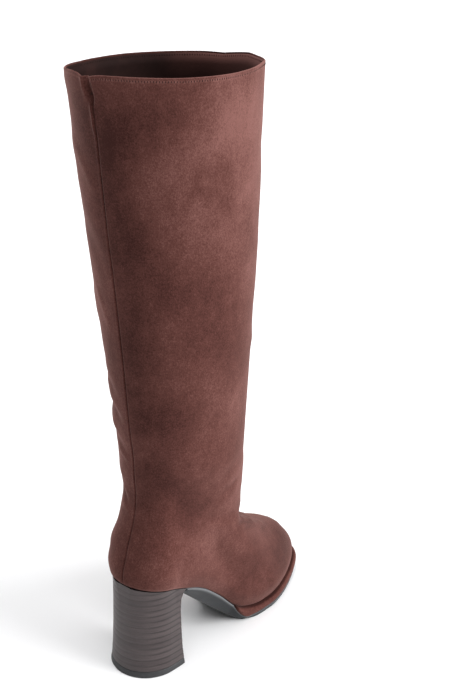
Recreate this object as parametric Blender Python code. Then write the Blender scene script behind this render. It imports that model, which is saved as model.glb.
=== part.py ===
"""A knee-high boot for the right foot: soft upper, insole, wrapped platform, thin outsole, stacked block heel.

Metres, +Z up. The toe points to -Y and the outer side of the foot to -X. The floor is z = 0, and the origin
lies under the heel, where the round back of its outline meets its straight sides.
A place on the boot is first worked out as lateral (towards the outer side), along (from the heel back
towards the toe) and height, and placed() turns the three into the boot's frame.
"""

import math

import bmesh
import bpy

MM = 0.001

# Driving sizes
FOOT_LENGTH = 226 * MM  # heel back to toe along the floor, at the upper's lower edge
SEAT_WIDTH = 56.4 * MM  # across the heel seat at the upper's lower edge
BALL_WIDTH = 69.2 * MM  # across the ball at the upper's lower edge
BOOT_HEIGHT = 492 * MM  # floor to collar
SEAT_HEIGHT = 85 * MM  # floor to the upper's lower edge at the heel back
SOLE_HEIGHT = 12 * MM  # floor to the upper's lower edge at the ball
TOE_SPRING = 7 * MM  # rise of the sole under the toe
COLLAR_DEPTH = 147.5 * MM  # front to back across the collar
COLLAR_WIDTH = 132 * MM  # side to side across the collar
UPPER_WALL = 1.8 * MM  # suede and lining together
INSOLE_THICKNESS = 3 * MM
OUTSOLE_THICKNESS = 3.2 * MM  # under the platform
HEEL_LENGTH = 44.3 * MM  # front to back at the floor
HEEL_WIDTH = 58.6 * MM  # side to side at the floor
HEEL_ROUND = 28 * MM  # depth of the round back of the heel's outline
TOP_LIFT_THICKNESS = 5.5 * MM
SEAM_DEPTH = 0.5 * MM  # how far the back seam is drawn in
SEAM_HALF_WIDTH = 1.7 * MM
PLATFORM_PROUD = 4.2 * MM  # how far the platform's side stands out from the upper's lower edge
WAIST_PROUD = 0.6 * MM  # the same for the outsole's upper edge in front of the heel
WAIST_INSET = 6.5 * MM  # how far the outsole's side draws in towards its lower edge there
FOREPART_PROUD = 3.9 * MM  # the same two sizes under the platform
FOREPART_INSET = 0.6 * MM
GAP = 0.3 * MM  # clearance between pieces that touch
BREAST_CLEARANCE = 0.6 * MM  # between the heel's front face and the outsole's rear end
WALL_SLANT = 1.35  # the slanting wall's width on the level, over its thickness

# Where the origin lies along the foot
ORIGIN_ALONG = 25.5 * MM

# Shares of the foot length
CONTACT_REAR = 0.535  # where the sole meets the floor behind the ball
CONTACT_FRONT = 0.70  # where the toe spring begins
WRAP_TOP = 0.478  # rear end of the platform's slanting edge, at the upper
WRAP_FOOT = 0.526  # front end of that edge, at the outsole
WRAP_TIP = 0.010  # how far the platform's solid starts in front of the edge's rear end
WAIST_LIFT_SLOPE = 0.935  # slope of the outsole's underside between heel and ball, rise over run
WAIST_LIFT_RADIUS = 0.027  # how softly that slope leaves the floor
SPRING_POWER = 1.8
TOP_SPRING = 0.95  # the upper's lower edge rises a little less than the outsole at the toe
TIP_START = 0.85  # from here the sole's side also stands out forwards

# The foot's outline in plan, lengths as shares of the foot length
HEEL_CURVE = 0.12
WAIST_PLACE = 0.40
BALL_PLACE = 0.70
TOE_CURVE = 0.34
TOE_FULLNESS = 2.15  # 2 is an ellipse, more is squarer
WAIST_FIT = 0.61  # waist width over ball width
INNER_FULLNESS = 1.06  # the inner side of the ball is fuller than the outer
FULLNESS_START = 0.45
BOW_START = 0.15
BOW_LENGTH = 0.50
WAIST_BOW = 0.156  # sideways bow of the centre line, shares of half the ball width
SWING_START = 0.60
TOE_SWING = -0.214
EDGE_FADE = 0.25  # where the outline is narrower than this share of the ball, a side stands out less
SAG_FADE = 1.5  # how fast the foot part's rings lose the lower edge's dip as they turn round

# Height of the upper's lower edge above the sole, tenth by tenth from heel to toe, share of the heel pitch
PITCH = (1.0, 0.925, 0.815, 0.65, 0.377, 0.100, 0.006, 0.0, 0.0, 0.0, 0.0)

# Sections of the foot part, heel back to toe, in order of height
# back, front: shares of the foot length; back_rise, front_rise: shares of the height to the collar;
# seat, ball: half widths as shares of SEAT_WIDTH and BALL_WIDTH; roundness: 0 a foot's outline, 1 an ellipse
FOOT_COLUMNS = ("back", "back_rise", "front", "front_rise", "seat", "ball", "roundness", "rings")
FOOT_SECTIONS = (
    (0.000, 0.000, 1.000, 0.000, 0.500, 0.500, 0.00, 2),
    (0.004, 0.030, 0.987, 0.027, 0.575, 0.598, 0.00, 2),
    (0.020, 0.060, 0.950, 0.050, 0.594, 0.608, 0.02, 2),
    (0.034, 0.088, 0.897, 0.073, 0.592, 0.593, 0.10, 2),
    (0.053, 0.117, 0.800, 0.100, 0.560, 0.587, 0.28, 2),
    (0.070, 0.154, 0.686, 0.141, 0.539, 0.578, 0.46, 2),
    (0.074, 0.188, 0.600, 0.182, 0.515, 0.560, 0.70, 2),
    (0.068, 0.228, 0.575, 0.250, 0.570, 0.603, 0.86, 2),
)

# Sections of the shaft
# centre, lean: shares of FOOT_LENGTH and COLLAR_WIDTH; depth, width: shares of the collar's
SHAFT_COLUMNS = ("centre", "depth", "back_rise", "front_rise", "width", "lean", "rings")
SHAFT_SECTIONS = (
    (0.311, 0.767, 0.273, 0.324, 0.694, 0.006, 2),
    (0.302, 0.799, 0.344, 0.411, 0.724, 0.011, 2),
    (0.285, 0.822, 0.477, 0.546, 0.822, 0.012, 2),
    (0.268, 0.879, 0.651, 0.700, 0.903, 0.008, 3),
    (0.241, 0.934, 0.848, 0.869, 0.970, 0.014, 3),
    (0.212, 1.000, 1.003, 0.996, 1.000, 0.036, 1),
)

# Levels of the heel block, floor to seat
# level: share of its height; back, breast: shares of HEEL_LENGTH from the heel back; width: share of HEEL_WIDTH
SEAT_BLEND = 3  # how late the sides of the heel turn into the seat's outline
HEEL_COLUMNS = ("level", "back", "breast", "width")
HEEL_LEVELS = (
    (0.00, -0.056, 0.966, 1.000),
    (0.05, -0.047, 0.956, 0.988),
    (0.25, -0.018, 0.926, 0.956),
    (0.50, -0.002, 0.904, 0.942),
    (0.74, 0.005, 0.894, 0.941),
    (0.87, 0.009, 0.908, 0.944),
    (0.94, 0.011, 0.962, 0.948),
    (1.00, 0.012, 1.040, 0.952),
)

# Side of the platform, foot to top: share of its height, share of PLATFORM_PROUD
PLATFORM_SIDE = ((0.00, 0.78), (0.30, 1.00), (0.62, 0.93), (0.86, 0.70), (1.00, 0.42))
# Side of the outsole, foot to top: share of its height, share of the inset
OUTSOLE_SIDE = ((0.00, 1.00), (0.30, 0.62), (0.62, 0.27), (0.86, 0.06), (0.90, 0.00), (1.00, 0.00))

STATIONS = 26  # steps from heel back to toe, shared by every piece that follows the upper's lower edge
HEEL_STATIONS = 12

SUEDE = ("suede", (0.135, 0.062, 0.055), 0.9)
LINING = ("insole_lining", (0.060, 0.036, 0.032), 0.8)
GREY_SOLE = ("sole_rubber", (0.115, 0.118, 0.125), 0.55)
STACK = ("stacked_heel", (0.120, 0.098, 0.090), 0.6)
LIFT = ("top_lift_rubber", (0.012, 0.012, 0.013), 0.6)


def placed(lateral, along, height):
    """The boot's frame from a place given as lateral, along and height."""
    return (-lateral, ORIGIN_ALONG - along, height)


def smooth(start, end, value):
    """0 before start, 1 after end, and a soft step between them."""
    share = min(max((value - start) / (end - start), 0.0), 1.0)
    return share * share * (3 - 2 * share)


def mixed(first, second, share):
    return first + (second - first) * share


def through(before, first, second, after, share):
    """A value on the smooth curve through four even steps, between the middle two."""
    slope_in = (second - before) / 2
    slope_out = (after - first) / 2
    square = share * share
    cube = square * share
    return (
        (2 * cube - 3 * square + 1) * first
        + (cube - 2 * square + share) * slope_in
        + (3 * square - 2 * cube) * second
        + (cube - square) * slope_out
    )


def foot_share(along):
    return along / FOOT_LENGTH


def spring(share):
    """Share of the toe spring at a share of the foot length."""
    return max((share - CONTACT_FRONT) / (1 - CONTACT_FRONT), 0.0) ** SPRING_POWER


def pitch(share):
    """Share of the heel pitch at a share of the foot length."""
    last = len(PITCH) - 1
    place = min(max(share, 0.0), 1.0) * last
    step = min(int(place), last - 1)
    before = PITCH[step - 1] if step > 0 else 2 * PITCH[0] - PITCH[1]
    after = PITCH[step + 2] if step + 2 <= last else PITCH[last]
    return through(before, PITCH[step], PITCH[step + 1], after, place - step)


def edge_height(along):
    """Height of the upper's lower edge."""
    share = foot_share(along)
    rise = (SEAT_HEIGHT - SOLE_HEIGHT) * pitch(share)
    return SOLE_HEIGHT + rise + TOP_SPRING * TOE_SPRING * spring(share)


def outsole_foot(along):
    """Height of the outsole's underside."""
    share = foot_share(along)
    behind = (CONTACT_REAR - share) * FOOT_LENGTH
    if behind <= 0:
        return TOE_SPRING * spring(share)
    return WAIST_LIFT_SLOPE * behind * behind / (behind + WAIST_LIFT_RADIUS * FOOT_LENGTH)


def outsole_top(along):
    """Height of the outsole's upper side: under the upper behind, under the platform in front."""
    share = foot_share(along)
    if share >= WRAP_FOOT:
        return outsole_foot(along) + OUTSOLE_THICKNESS
    if share <= WRAP_TOP:
        return edge_height(along) - GAP
    behind = edge_height(WRAP_TOP * FOOT_LENGTH) - GAP
    ahead = outsole_foot(WRAP_FOOT * FOOT_LENGTH) + OUTSOLE_THICKNESS
    return mixed(behind, ahead, (share - WRAP_TOP) / (WRAP_FOOT - WRAP_TOP))


def outline_half(share, seat_half, ball_half):
    """Half width of a foot's outline at a share of its length."""
    ahead = min(share / HEEL_CURVE, 1.0)
    heel_end = math.sqrt(1 - (1 - ahead) ** 2)
    near_toe = min(max((share - 1 + TOE_CURVE) / TOE_CURVE, 0.0), 1.0)
    toe_end = (1 - near_toe**TOE_FULLNESS) ** (1 / TOE_FULLNESS)
    waist_half = WAIST_FIT * ball_half
    body = mixed(seat_half, waist_half, smooth(HEEL_CURVE, WAIST_PLACE, share))
    body += (ball_half - waist_half) * smooth(WAIST_PLACE, BALL_PLACE, share)
    return body * heel_end * toe_end


def inner_fullness(share):
    """How much fuller the inner side is at a share of the foot length."""
    return 1 + (INNER_FULLNESS - 1) * smooth(FULLNESS_START, BALL_PLACE, share)


def centre_shift(share, ball_half):
    """Sideways place of the outline's centre line."""
    bow = math.sin(min(max((share - BOW_START) / BOW_LENGTH, 0.0), 1.0) * math.pi)
    return (WAIST_BOW * bow + TOE_SWING * smooth(SWING_START, 1.0, share)) * ball_half


def edge_sides(along, proud):
    """Outer and inner lateral places of the upper's lower edge, moved out by proud."""
    share = min(max(foot_share(along), 0.0), 1.0)
    half = outline_half(share, SEAT_WIDTH / 2, BALL_WIDTH / 2)
    fade = math.sqrt(min(max(half / (EDGE_FADE * BALL_WIDTH), 0.0), 1.0))
    centre = centre_shift(share, BALL_WIDTH / 2)
    return (
        centre + half + proud * fade,
        centre - half * inner_fullness(share) - proud * fade,
    )


def station_shares():
    """Shares of the foot length, close together at the heel back and at the toe."""
    return [(1 - math.cos(math.pi * step / STATIONS)) / 2 for step in range(STATIONS + 1)]


def foot_rows():
    """The foot part's sections as named lengths."""
    rows = []
    seat_rise = BOOT_HEIGHT - SEAT_HEIGHT
    toe_edge = edge_height(FOOT_LENGTH)
    for section in FOOT_SECTIONS:
        row = dict(zip(FOOT_COLUMNS, section))
        rows.append(
            {
                "back": row["back"] * FOOT_LENGTH,
                "front": row["front"] * FOOT_LENGTH,
                "back_height": SEAT_HEIGHT + row["back_rise"] * seat_rise,
                "front_height": toe_edge + row["front_rise"] * (BOOT_HEIGHT - toe_edge),
                "seat_half": row["seat"] * SEAT_WIDTH,
                "ball_half": row["ball"] * BALL_WIDTH,
                "roundness": row["roundness"],
                "lean": 0.0,
                "rings": row["rings"],
            }
        )
    return rows


def shaft_rows():
    """The shaft's sections as named lengths."""
    rows = []
    toe_edge = edge_height(FOOT_LENGTH)
    for section in SHAFT_SECTIONS:
        row = dict(zip(SHAFT_COLUMNS, section))
        centre = row["centre"] * FOOT_LENGTH
        half_depth = row["depth"] * COLLAR_DEPTH / 2
        half_width = row["width"] * COLLAR_WIDTH / 2
        rows.append(
            {
                "back": centre - half_depth,
                "front": centre + half_depth,
                "back_height": SEAT_HEIGHT + row["back_rise"] * (BOOT_HEIGHT - SEAT_HEIGHT),
                "front_height": toe_edge + row["front_rise"] * (BOOT_HEIGHT - toe_edge),
                "seat_half": half_width,
                "ball_half": half_width,
                "roundness": 1.0,
                "lean": row["lean"] * COLLAR_WIDTH,
                "rings": row["rings"],
            }
        )
    return rows


def upper_sections():
    """Every ring of the upper, lower edge to collar, on smooth curves through the named sections."""
    rows = foot_rows() + shaft_rows()
    sections = []
    for number in range(len(rows) - 1):
        first = rows[number]
        second = rows[number + 1]
        before = rows[number - 1] if number > 0 else None
        after = rows[number + 2] if number + 2 < len(rows) else None
        for step in range(first["rings"]):
            share = step / first["rings"]
            section = {}
            for name in first:
                start = before[name] if before else 2 * first[name] - second[name]
                end = after[name] if after else 2 * second[name] - first[name]
                section[name] = through(start, first[name], second[name], end, share)
            sections.append(section)
    sections.append(rows[-1])
    return sections


def upper_point(section, share, side):
    """A point of the upper's outside. side is 1 on the outer side, -1 on the inner and 0 at back and toe."""
    roundness = min(max(section["roundness"], 0.0), 1.0)
    ball_half = section["ball_half"]
    foot_half = outline_half(share, section["seat_half"], ball_half)
    if side < 0:
        foot_half *= inner_fullness(share)
    round_half = ball_half * math.sqrt(max(1 - (2 * share - 1) ** 2, 0.0))
    half = mixed(foot_half, round_half, roundness)
    lateral = side * half + (1 - roundness) * centre_shift(share, ball_half) + section["lean"]
    along = mixed(section["back"], section["front"], share)
    straight = mixed(section["back_height"], section["front_height"], share)
    edge_line = mixed(edge_height(0), edge_height(FOOT_LENGTH), share)
    sag = edge_height(share * FOOT_LENGTH) - edge_line
    height = straight + (1 - roundness) ** SAG_FADE * sag
    return lateral, along, height


def upper_columns():
    """Columns round the upper as share, side and how far each is drawn in, starting at the back seam."""
    shares = station_shares()
    # Near the back an outline's half width grows with the root of the share
    beside = HEEL_CURVE * (SEAM_HALF_WIDTH / SEAT_WIDTH * 2) ** 2 / 2
    columns = [(0.0, 0, SEAM_DEPTH), (beside, 1, 0.0)]
    columns += [(share, 1, 0.0) for share in shares[1:-1]]
    columns.append((1.0, 0, 0.0))
    columns += [(share, -1, 0.0) for share in reversed(shares[1:-1])]
    columns.append((beside, -1, 0.0))
    return columns


def new_object(name, mesh, finish):
    """One boot piece, at the origin, with its own material."""
    label, colour, roughness = finish
    material = bpy.data.materials.new(f"{name}_{label}")
    material.use_nodes = True
    shader = material.node_tree.nodes["Principled BSDF"]
    shader.inputs["Base Color"].default_value = (*colour, 1.0)
    shader.inputs["Roughness"].default_value = roughness
    shader.inputs["Metallic"].default_value = 0.0
    mesh.materials.append(material)
    piece = bpy.data.objects.new(name, mesh)
    bpy.context.scene.collection.objects.link(piece)
    mesh.shade_smooth()
    mesh.set_sharp_from_angle(angle=math.radians(35))
    return piece


def lofted(name, rings):
    """A closed mesh through rings of equal length. An end ring whose sides coincide welds shut."""
    shape = bmesh.new()
    loops = [[shape.verts.new(point) for point in ring] for ring in rings]
    size = len(loops[0])
    for first, second in zip(loops, loops[1:]):
        for number in range(size):
            following = (number + 1) % size
            shape.faces.new((first[number], first[following], second[following], second[number]))
    for loop in (loops[0], loops[-1]):
        half = size // 2
        for number in range(half - 1):
            quad = (loop[number], loop[number + 1], loop[size - 2 - number], loop[size - 1 - number])
            shape.faces.new(quad)
    bmesh.ops.remove_doubles(shape, verts=shape.verts, dist=0.001 * MM)
    bmesh.ops.recalc_face_normals(shape, faces=shape.faces)
    mesh = bpy.data.meshes.new(name)
    shape.to_mesh(mesh)
    shape.free()
    return mesh


def build_upper():
    """The hollow upper: one shell from the sole to the collar, open at both, with its wall inside."""
    shape = bmesh.new()
    columns = upper_columns()
    loops = []
    for section in upper_sections():
        loop = []
        for share, side, drawn_in in columns:
            lateral, along, height = upper_point(section, share, side)
            loop.append(shape.verts.new(placed(lateral, along + drawn_in, height)))
        loops.append(loop)
    size = len(columns)
    for first, second in zip(loops, loops[1:]):
        for number in range(size):
            following = (number + 1) % size
            shape.faces.new((first[number], first[following], second[following], second[number]))
    bmesh.ops.recalc_face_normals(shape, faces=shape.faces)
    mesh = bpy.data.meshes.new("upper")
    shape.to_mesh(mesh)
    shape.free()
    piece = new_object("upper", mesh, SUEDE)
    wall = piece.modifiers.new("wall", "SOLIDIFY")
    wall.thickness = UPPER_WALL
    wall.offset = -1.0
    wall.use_even_offset = True
    wall.use_rim = True
    return piece


def build_insole():
    """The insole, inside the upper's wall at its lower edge."""
    inset = UPPER_WALL * WALL_SLANT + GAP
    rings = []
    for share in station_shares():
        along = mixed(inset, FOOT_LENGTH - inset, share)
        outer, inner = edge_sides(share * FOOT_LENGTH, -inset)
        foot = edge_height(along)
        top = foot + INSOLE_THICKNESS
        outer = max(outer, (outer + inner) / 2)
        inner = min(inner, (outer + inner) / 2)
        ring = [(outer, foot), (outer, top), (inner, top), (inner, foot)]
        rings.append([placed(lateral, along, height) for lateral, height in ring])
    return new_object("insole", lofted("insole", rings), LINING)


def sole_shares(start, extra):
    """Station shares from start to the toe, with extra ones where the sole's shape turns."""
    shares = [share for share in station_shares() if share > start]
    return sorted({start, *extra, *shares})


def side_ring(levels):
    """A ring across a piece: its outer side from foot to top, then its inner side from top to foot."""
    outer_side = [placed(outer, along, height) for outer, _, along, height in levels]
    inner_side = [placed(inner, along, height) for _, inner, along, height in levels]
    return outer_side + inner_side[::-1]


def build_platform():
    """The wrapped platform under the ball and toe, which thins out along a slanting edge behind."""
    rings = []
    for share in sole_shares(WRAP_TOP + WRAP_TIP, [WRAP_FOOT]):
        base = share * FOOT_LENGTH
        tip = smooth(TIP_START, 1.0, share)
        levels = []
        for level, proud in PLATFORM_SIDE:
            stand = PLATFORM_PROUD * proud
            along = base + stand * tip
            height = mixed(outsole_top(along) + GAP, edge_height(along) - GAP, level)
            levels.append((*edge_sides(base, stand), along, height))
        rings.append(side_ring(levels))
    return new_object("platform", lofted("platform", rings), SUEDE)


def heel_row(level):
    """The heel block's named sizes at a share of its height."""
    rows = [dict(zip(HEEL_COLUMNS, row)) for row in HEEL_LEVELS]
    for first, second in zip(rows, rows[1:]):
        if level <= second["level"]:
            share = (level - first["level"]) / (second["level"] - first["level"])
            return {name: mixed(first[name], second[name], share) for name in HEEL_COLUMNS}
    return rows[-1]


def breast_top():
    """Where the heel's front face meets the seat."""
    return heel_row(1.0)["breast"] * HEEL_LENGTH


def breast_height():
    """Height of the heel at its front face."""
    return edge_height(breast_top()) - GAP


def breast_along(height):
    """Where the heel's front face lies at a height."""
    return heel_row(min(height / breast_height(), 1.0))["breast"] * HEEL_LENGTH


def build_outsole():
    """The grey outsole: deep in front of the heel with drawn-in sides, thin under the platform."""
    start = foot_share(breast_top() + BREAST_CLEARANCE)
    rings = []
    for share in sole_shares(start, [WRAP_TOP, WRAP_FOOT, CONTACT_REAR, CONTACT_FRONT]):
        base = share * FOOT_LENGTH
        tip = smooth(TIP_START, 1.0, share)
        under_platform = smooth(WRAP_TOP, WRAP_FOOT, share)
        proud = mixed(WAIST_PROUD, FOREPART_PROUD, under_platform)
        inset = mixed(WAIST_INSET, FOREPART_INSET, under_platform)
        levels = []
        for level, drawn in OUTSOLE_SIDE:
            stand = proud - inset * drawn
            along = base + stand * tip
            height = mixed(outsole_foot(along), outsole_top(along), level)
            if share == start:
                along = breast_along(height) + BREAST_CLEARANCE
            levels.append((*edge_sides(base, stand), along, height))
        rings.append(side_ring(levels))
    return new_object("outsole", lofted("outsole", rings), GREY_SOLE)


def heel_sides(row, along, level):
    """Outer and inner lateral places of the heel block's side."""
    behind = along - row["back"] * HEEL_LENGTH
    ahead = min(behind / HEEL_ROUND, 1.0)
    half = row["width"] * HEEL_WIDTH / 2 * math.sqrt(max(1 - (1 - ahead) ** 2, 0.0))
    outer, inner = edge_sides(along, -GAP)
    if ahead <= 0:
        outer = inner = half = 0.0
    blend = level**SEAT_BLEND
    return mixed(half, outer, blend), mixed(-half, inner, blend)


def heel_rings(foot_height, top_height, foot_level, top_level):
    """Rings from the heel's back to its breast, between two heights and two shares of the whole height."""
    rings = []
    for step in range(HEEL_STATIONS + 1):
        place = 1 - math.cos(math.pi / 2 * step / HEEL_STATIONS)
        levels = []
        for rise, _, _, _ in HEEL_LEVELS:
            level = mixed(foot_level, top_level, rise)
            row = heel_row(level)
            along = mixed(row["back"], row["breast"], place) * HEEL_LENGTH
            height = mixed(foot_height, top_height(along), rise)
            levels.append((*heel_sides(row, along, level), along, height))
        rings.append(side_ring(levels))
    return rings


def lift_level():
    """Share of the heel's whole height that its top lift takes."""
    return TOP_LIFT_THICKNESS / breast_height()


def build_heel():
    """The stacked heel block, cut at the top to the seat of the upper."""
    foot = TOP_LIFT_THICKNESS + GAP
    rings = heel_rings(foot, lambda along: edge_height(along) - GAP, lift_level(), 1.0)
    return new_object("heel", lofted("heel", rings), STACK)


def build_top_lift():
    """The dark wearing piece under the heel."""
    rings = heel_rings(0.0, lambda along: TOP_LIFT_THICKNESS, 0.0, lift_level())
    return new_object("top_lift", lofted("top_lift", rings), LIFT)


def clear_scene():
    for item in list(bpy.data.objects):
        bpy.data.objects.remove(item, do_unlink=True)


def main():
    clear_scene()
    build_upper()
    build_insole()
    build_platform()
    build_outsole()
    build_heel()
    build_top_lift()


main()
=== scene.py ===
"""The looks of a knee-high boot for the right foot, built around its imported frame.

Metres, +Z up. The toe points to -Y, the outer side of the foot to -X, and the floor is z = 0.
A place on the boot is first worked out as lateral (towards the outer side), along (from the heel back
towards the toe) and height, and Last.placed turns the three into the boot's frame.
A place on the upper is also given as a turn and a height: the turn is 0 at the back seam and 1 at the
front, above 0 on the outer side and below 0 on the inner.
"""

from __future__ import annotations

import logging
import math
from dataclasses import dataclass, field
from enum import Enum
from typing import Callable, Sequence

import bmesh
import bpy
import numpy as np
from mathutils import Matrix, Vector


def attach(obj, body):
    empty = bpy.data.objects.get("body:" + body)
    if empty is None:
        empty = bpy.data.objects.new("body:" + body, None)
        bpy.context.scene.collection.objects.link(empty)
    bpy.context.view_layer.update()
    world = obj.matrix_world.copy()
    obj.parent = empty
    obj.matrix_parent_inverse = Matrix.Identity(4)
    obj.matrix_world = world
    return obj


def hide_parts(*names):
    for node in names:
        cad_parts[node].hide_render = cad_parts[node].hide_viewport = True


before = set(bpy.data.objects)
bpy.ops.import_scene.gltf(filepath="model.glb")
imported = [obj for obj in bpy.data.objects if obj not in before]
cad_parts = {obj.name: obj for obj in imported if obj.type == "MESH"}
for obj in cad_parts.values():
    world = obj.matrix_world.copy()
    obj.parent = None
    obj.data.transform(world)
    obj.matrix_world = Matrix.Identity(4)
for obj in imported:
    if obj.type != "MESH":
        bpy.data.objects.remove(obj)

LOG = logging.getLogger("boot")
MM = 0.001
WELD = 1e-6
BODY = "root"
STITCH_SUNK = 0.45  # share of a stitch's radius that lies under the surface

Triple = tuple[float, float, float]
Socket = bpy.types.NodeSocket
Outward = Callable[[Vector], Vector]


class Slot(Enum):
    """The record's material slots."""

    SUEDE = "suede"
    LINING = "lining"
    SOLE = "sole_rubber"
    STACK = "stack"
    LIFT = "lift_rubber"


def smooth(start: float, end: float, value: float) -> float:
    """Steps softly from 0 before start to 1 after end.

    Args:
        start: Where the step begins.
        end: Where it ends.
        value: The place that is asked for.

    Returns:
        The step's height, from 0 to 1.
    """
    share = min(max((value - start) / (end - start), 0.0), 1.0)
    return share * share * (3 - 2 * share)


def mixed(first: float, second: float, share: float) -> float:
    """Returns the value at a share of the way from first to second."""
    return first + (second - first) * share


def through(before: float, first: float, second: float, after: float, share: float) -> float:
    """Reads the smooth curve through four even steps, between the middle two.

    Args:
        before: The value one step before the stretch.
        first: The value at its start.
        second: The value at its end.
        after: The value one step after it.
        share: The share of the stretch.

    Returns:
        The curve's value.
    """
    slope_in = (second - before) / 2
    slope_out = (after - first) / 2
    square = share * share
    cube = square * share
    return (
        (2 * cube - 3 * square + 1) * first
        + (cube - 2 * square + share) * slope_in
        + (3 * square - 2 * cube) * second
        + (cube - square) * slope_out
    )


def read_curve(values: Sequence[float], place: float) -> float:
    """Reads a smooth curve through evenly spaced values.

    Args:
        values: The values, one for each whole step.
        place: The place in steps.

    Returns:
        The curve's value there.
    """
    last = len(values) - 1
    place = min(max(place, 0.0), float(last))
    step = min(int(place), last - 1)
    before = values[step - 1] if step > 0 else 2 * values[0] - values[1]
    after = values[step + 2] if step + 2 <= last else 2 * values[last] - values[last - 1]
    return through(before, values[step], values[step + 1], after, place - step)


@dataclass(frozen=True)
class Section:
    """One section of the upper, in metres."""

    back: float
    front: float
    back_height: float
    front_height: float
    seat_half: float
    ball_half: float
    roundness: float
    lean: float


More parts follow.
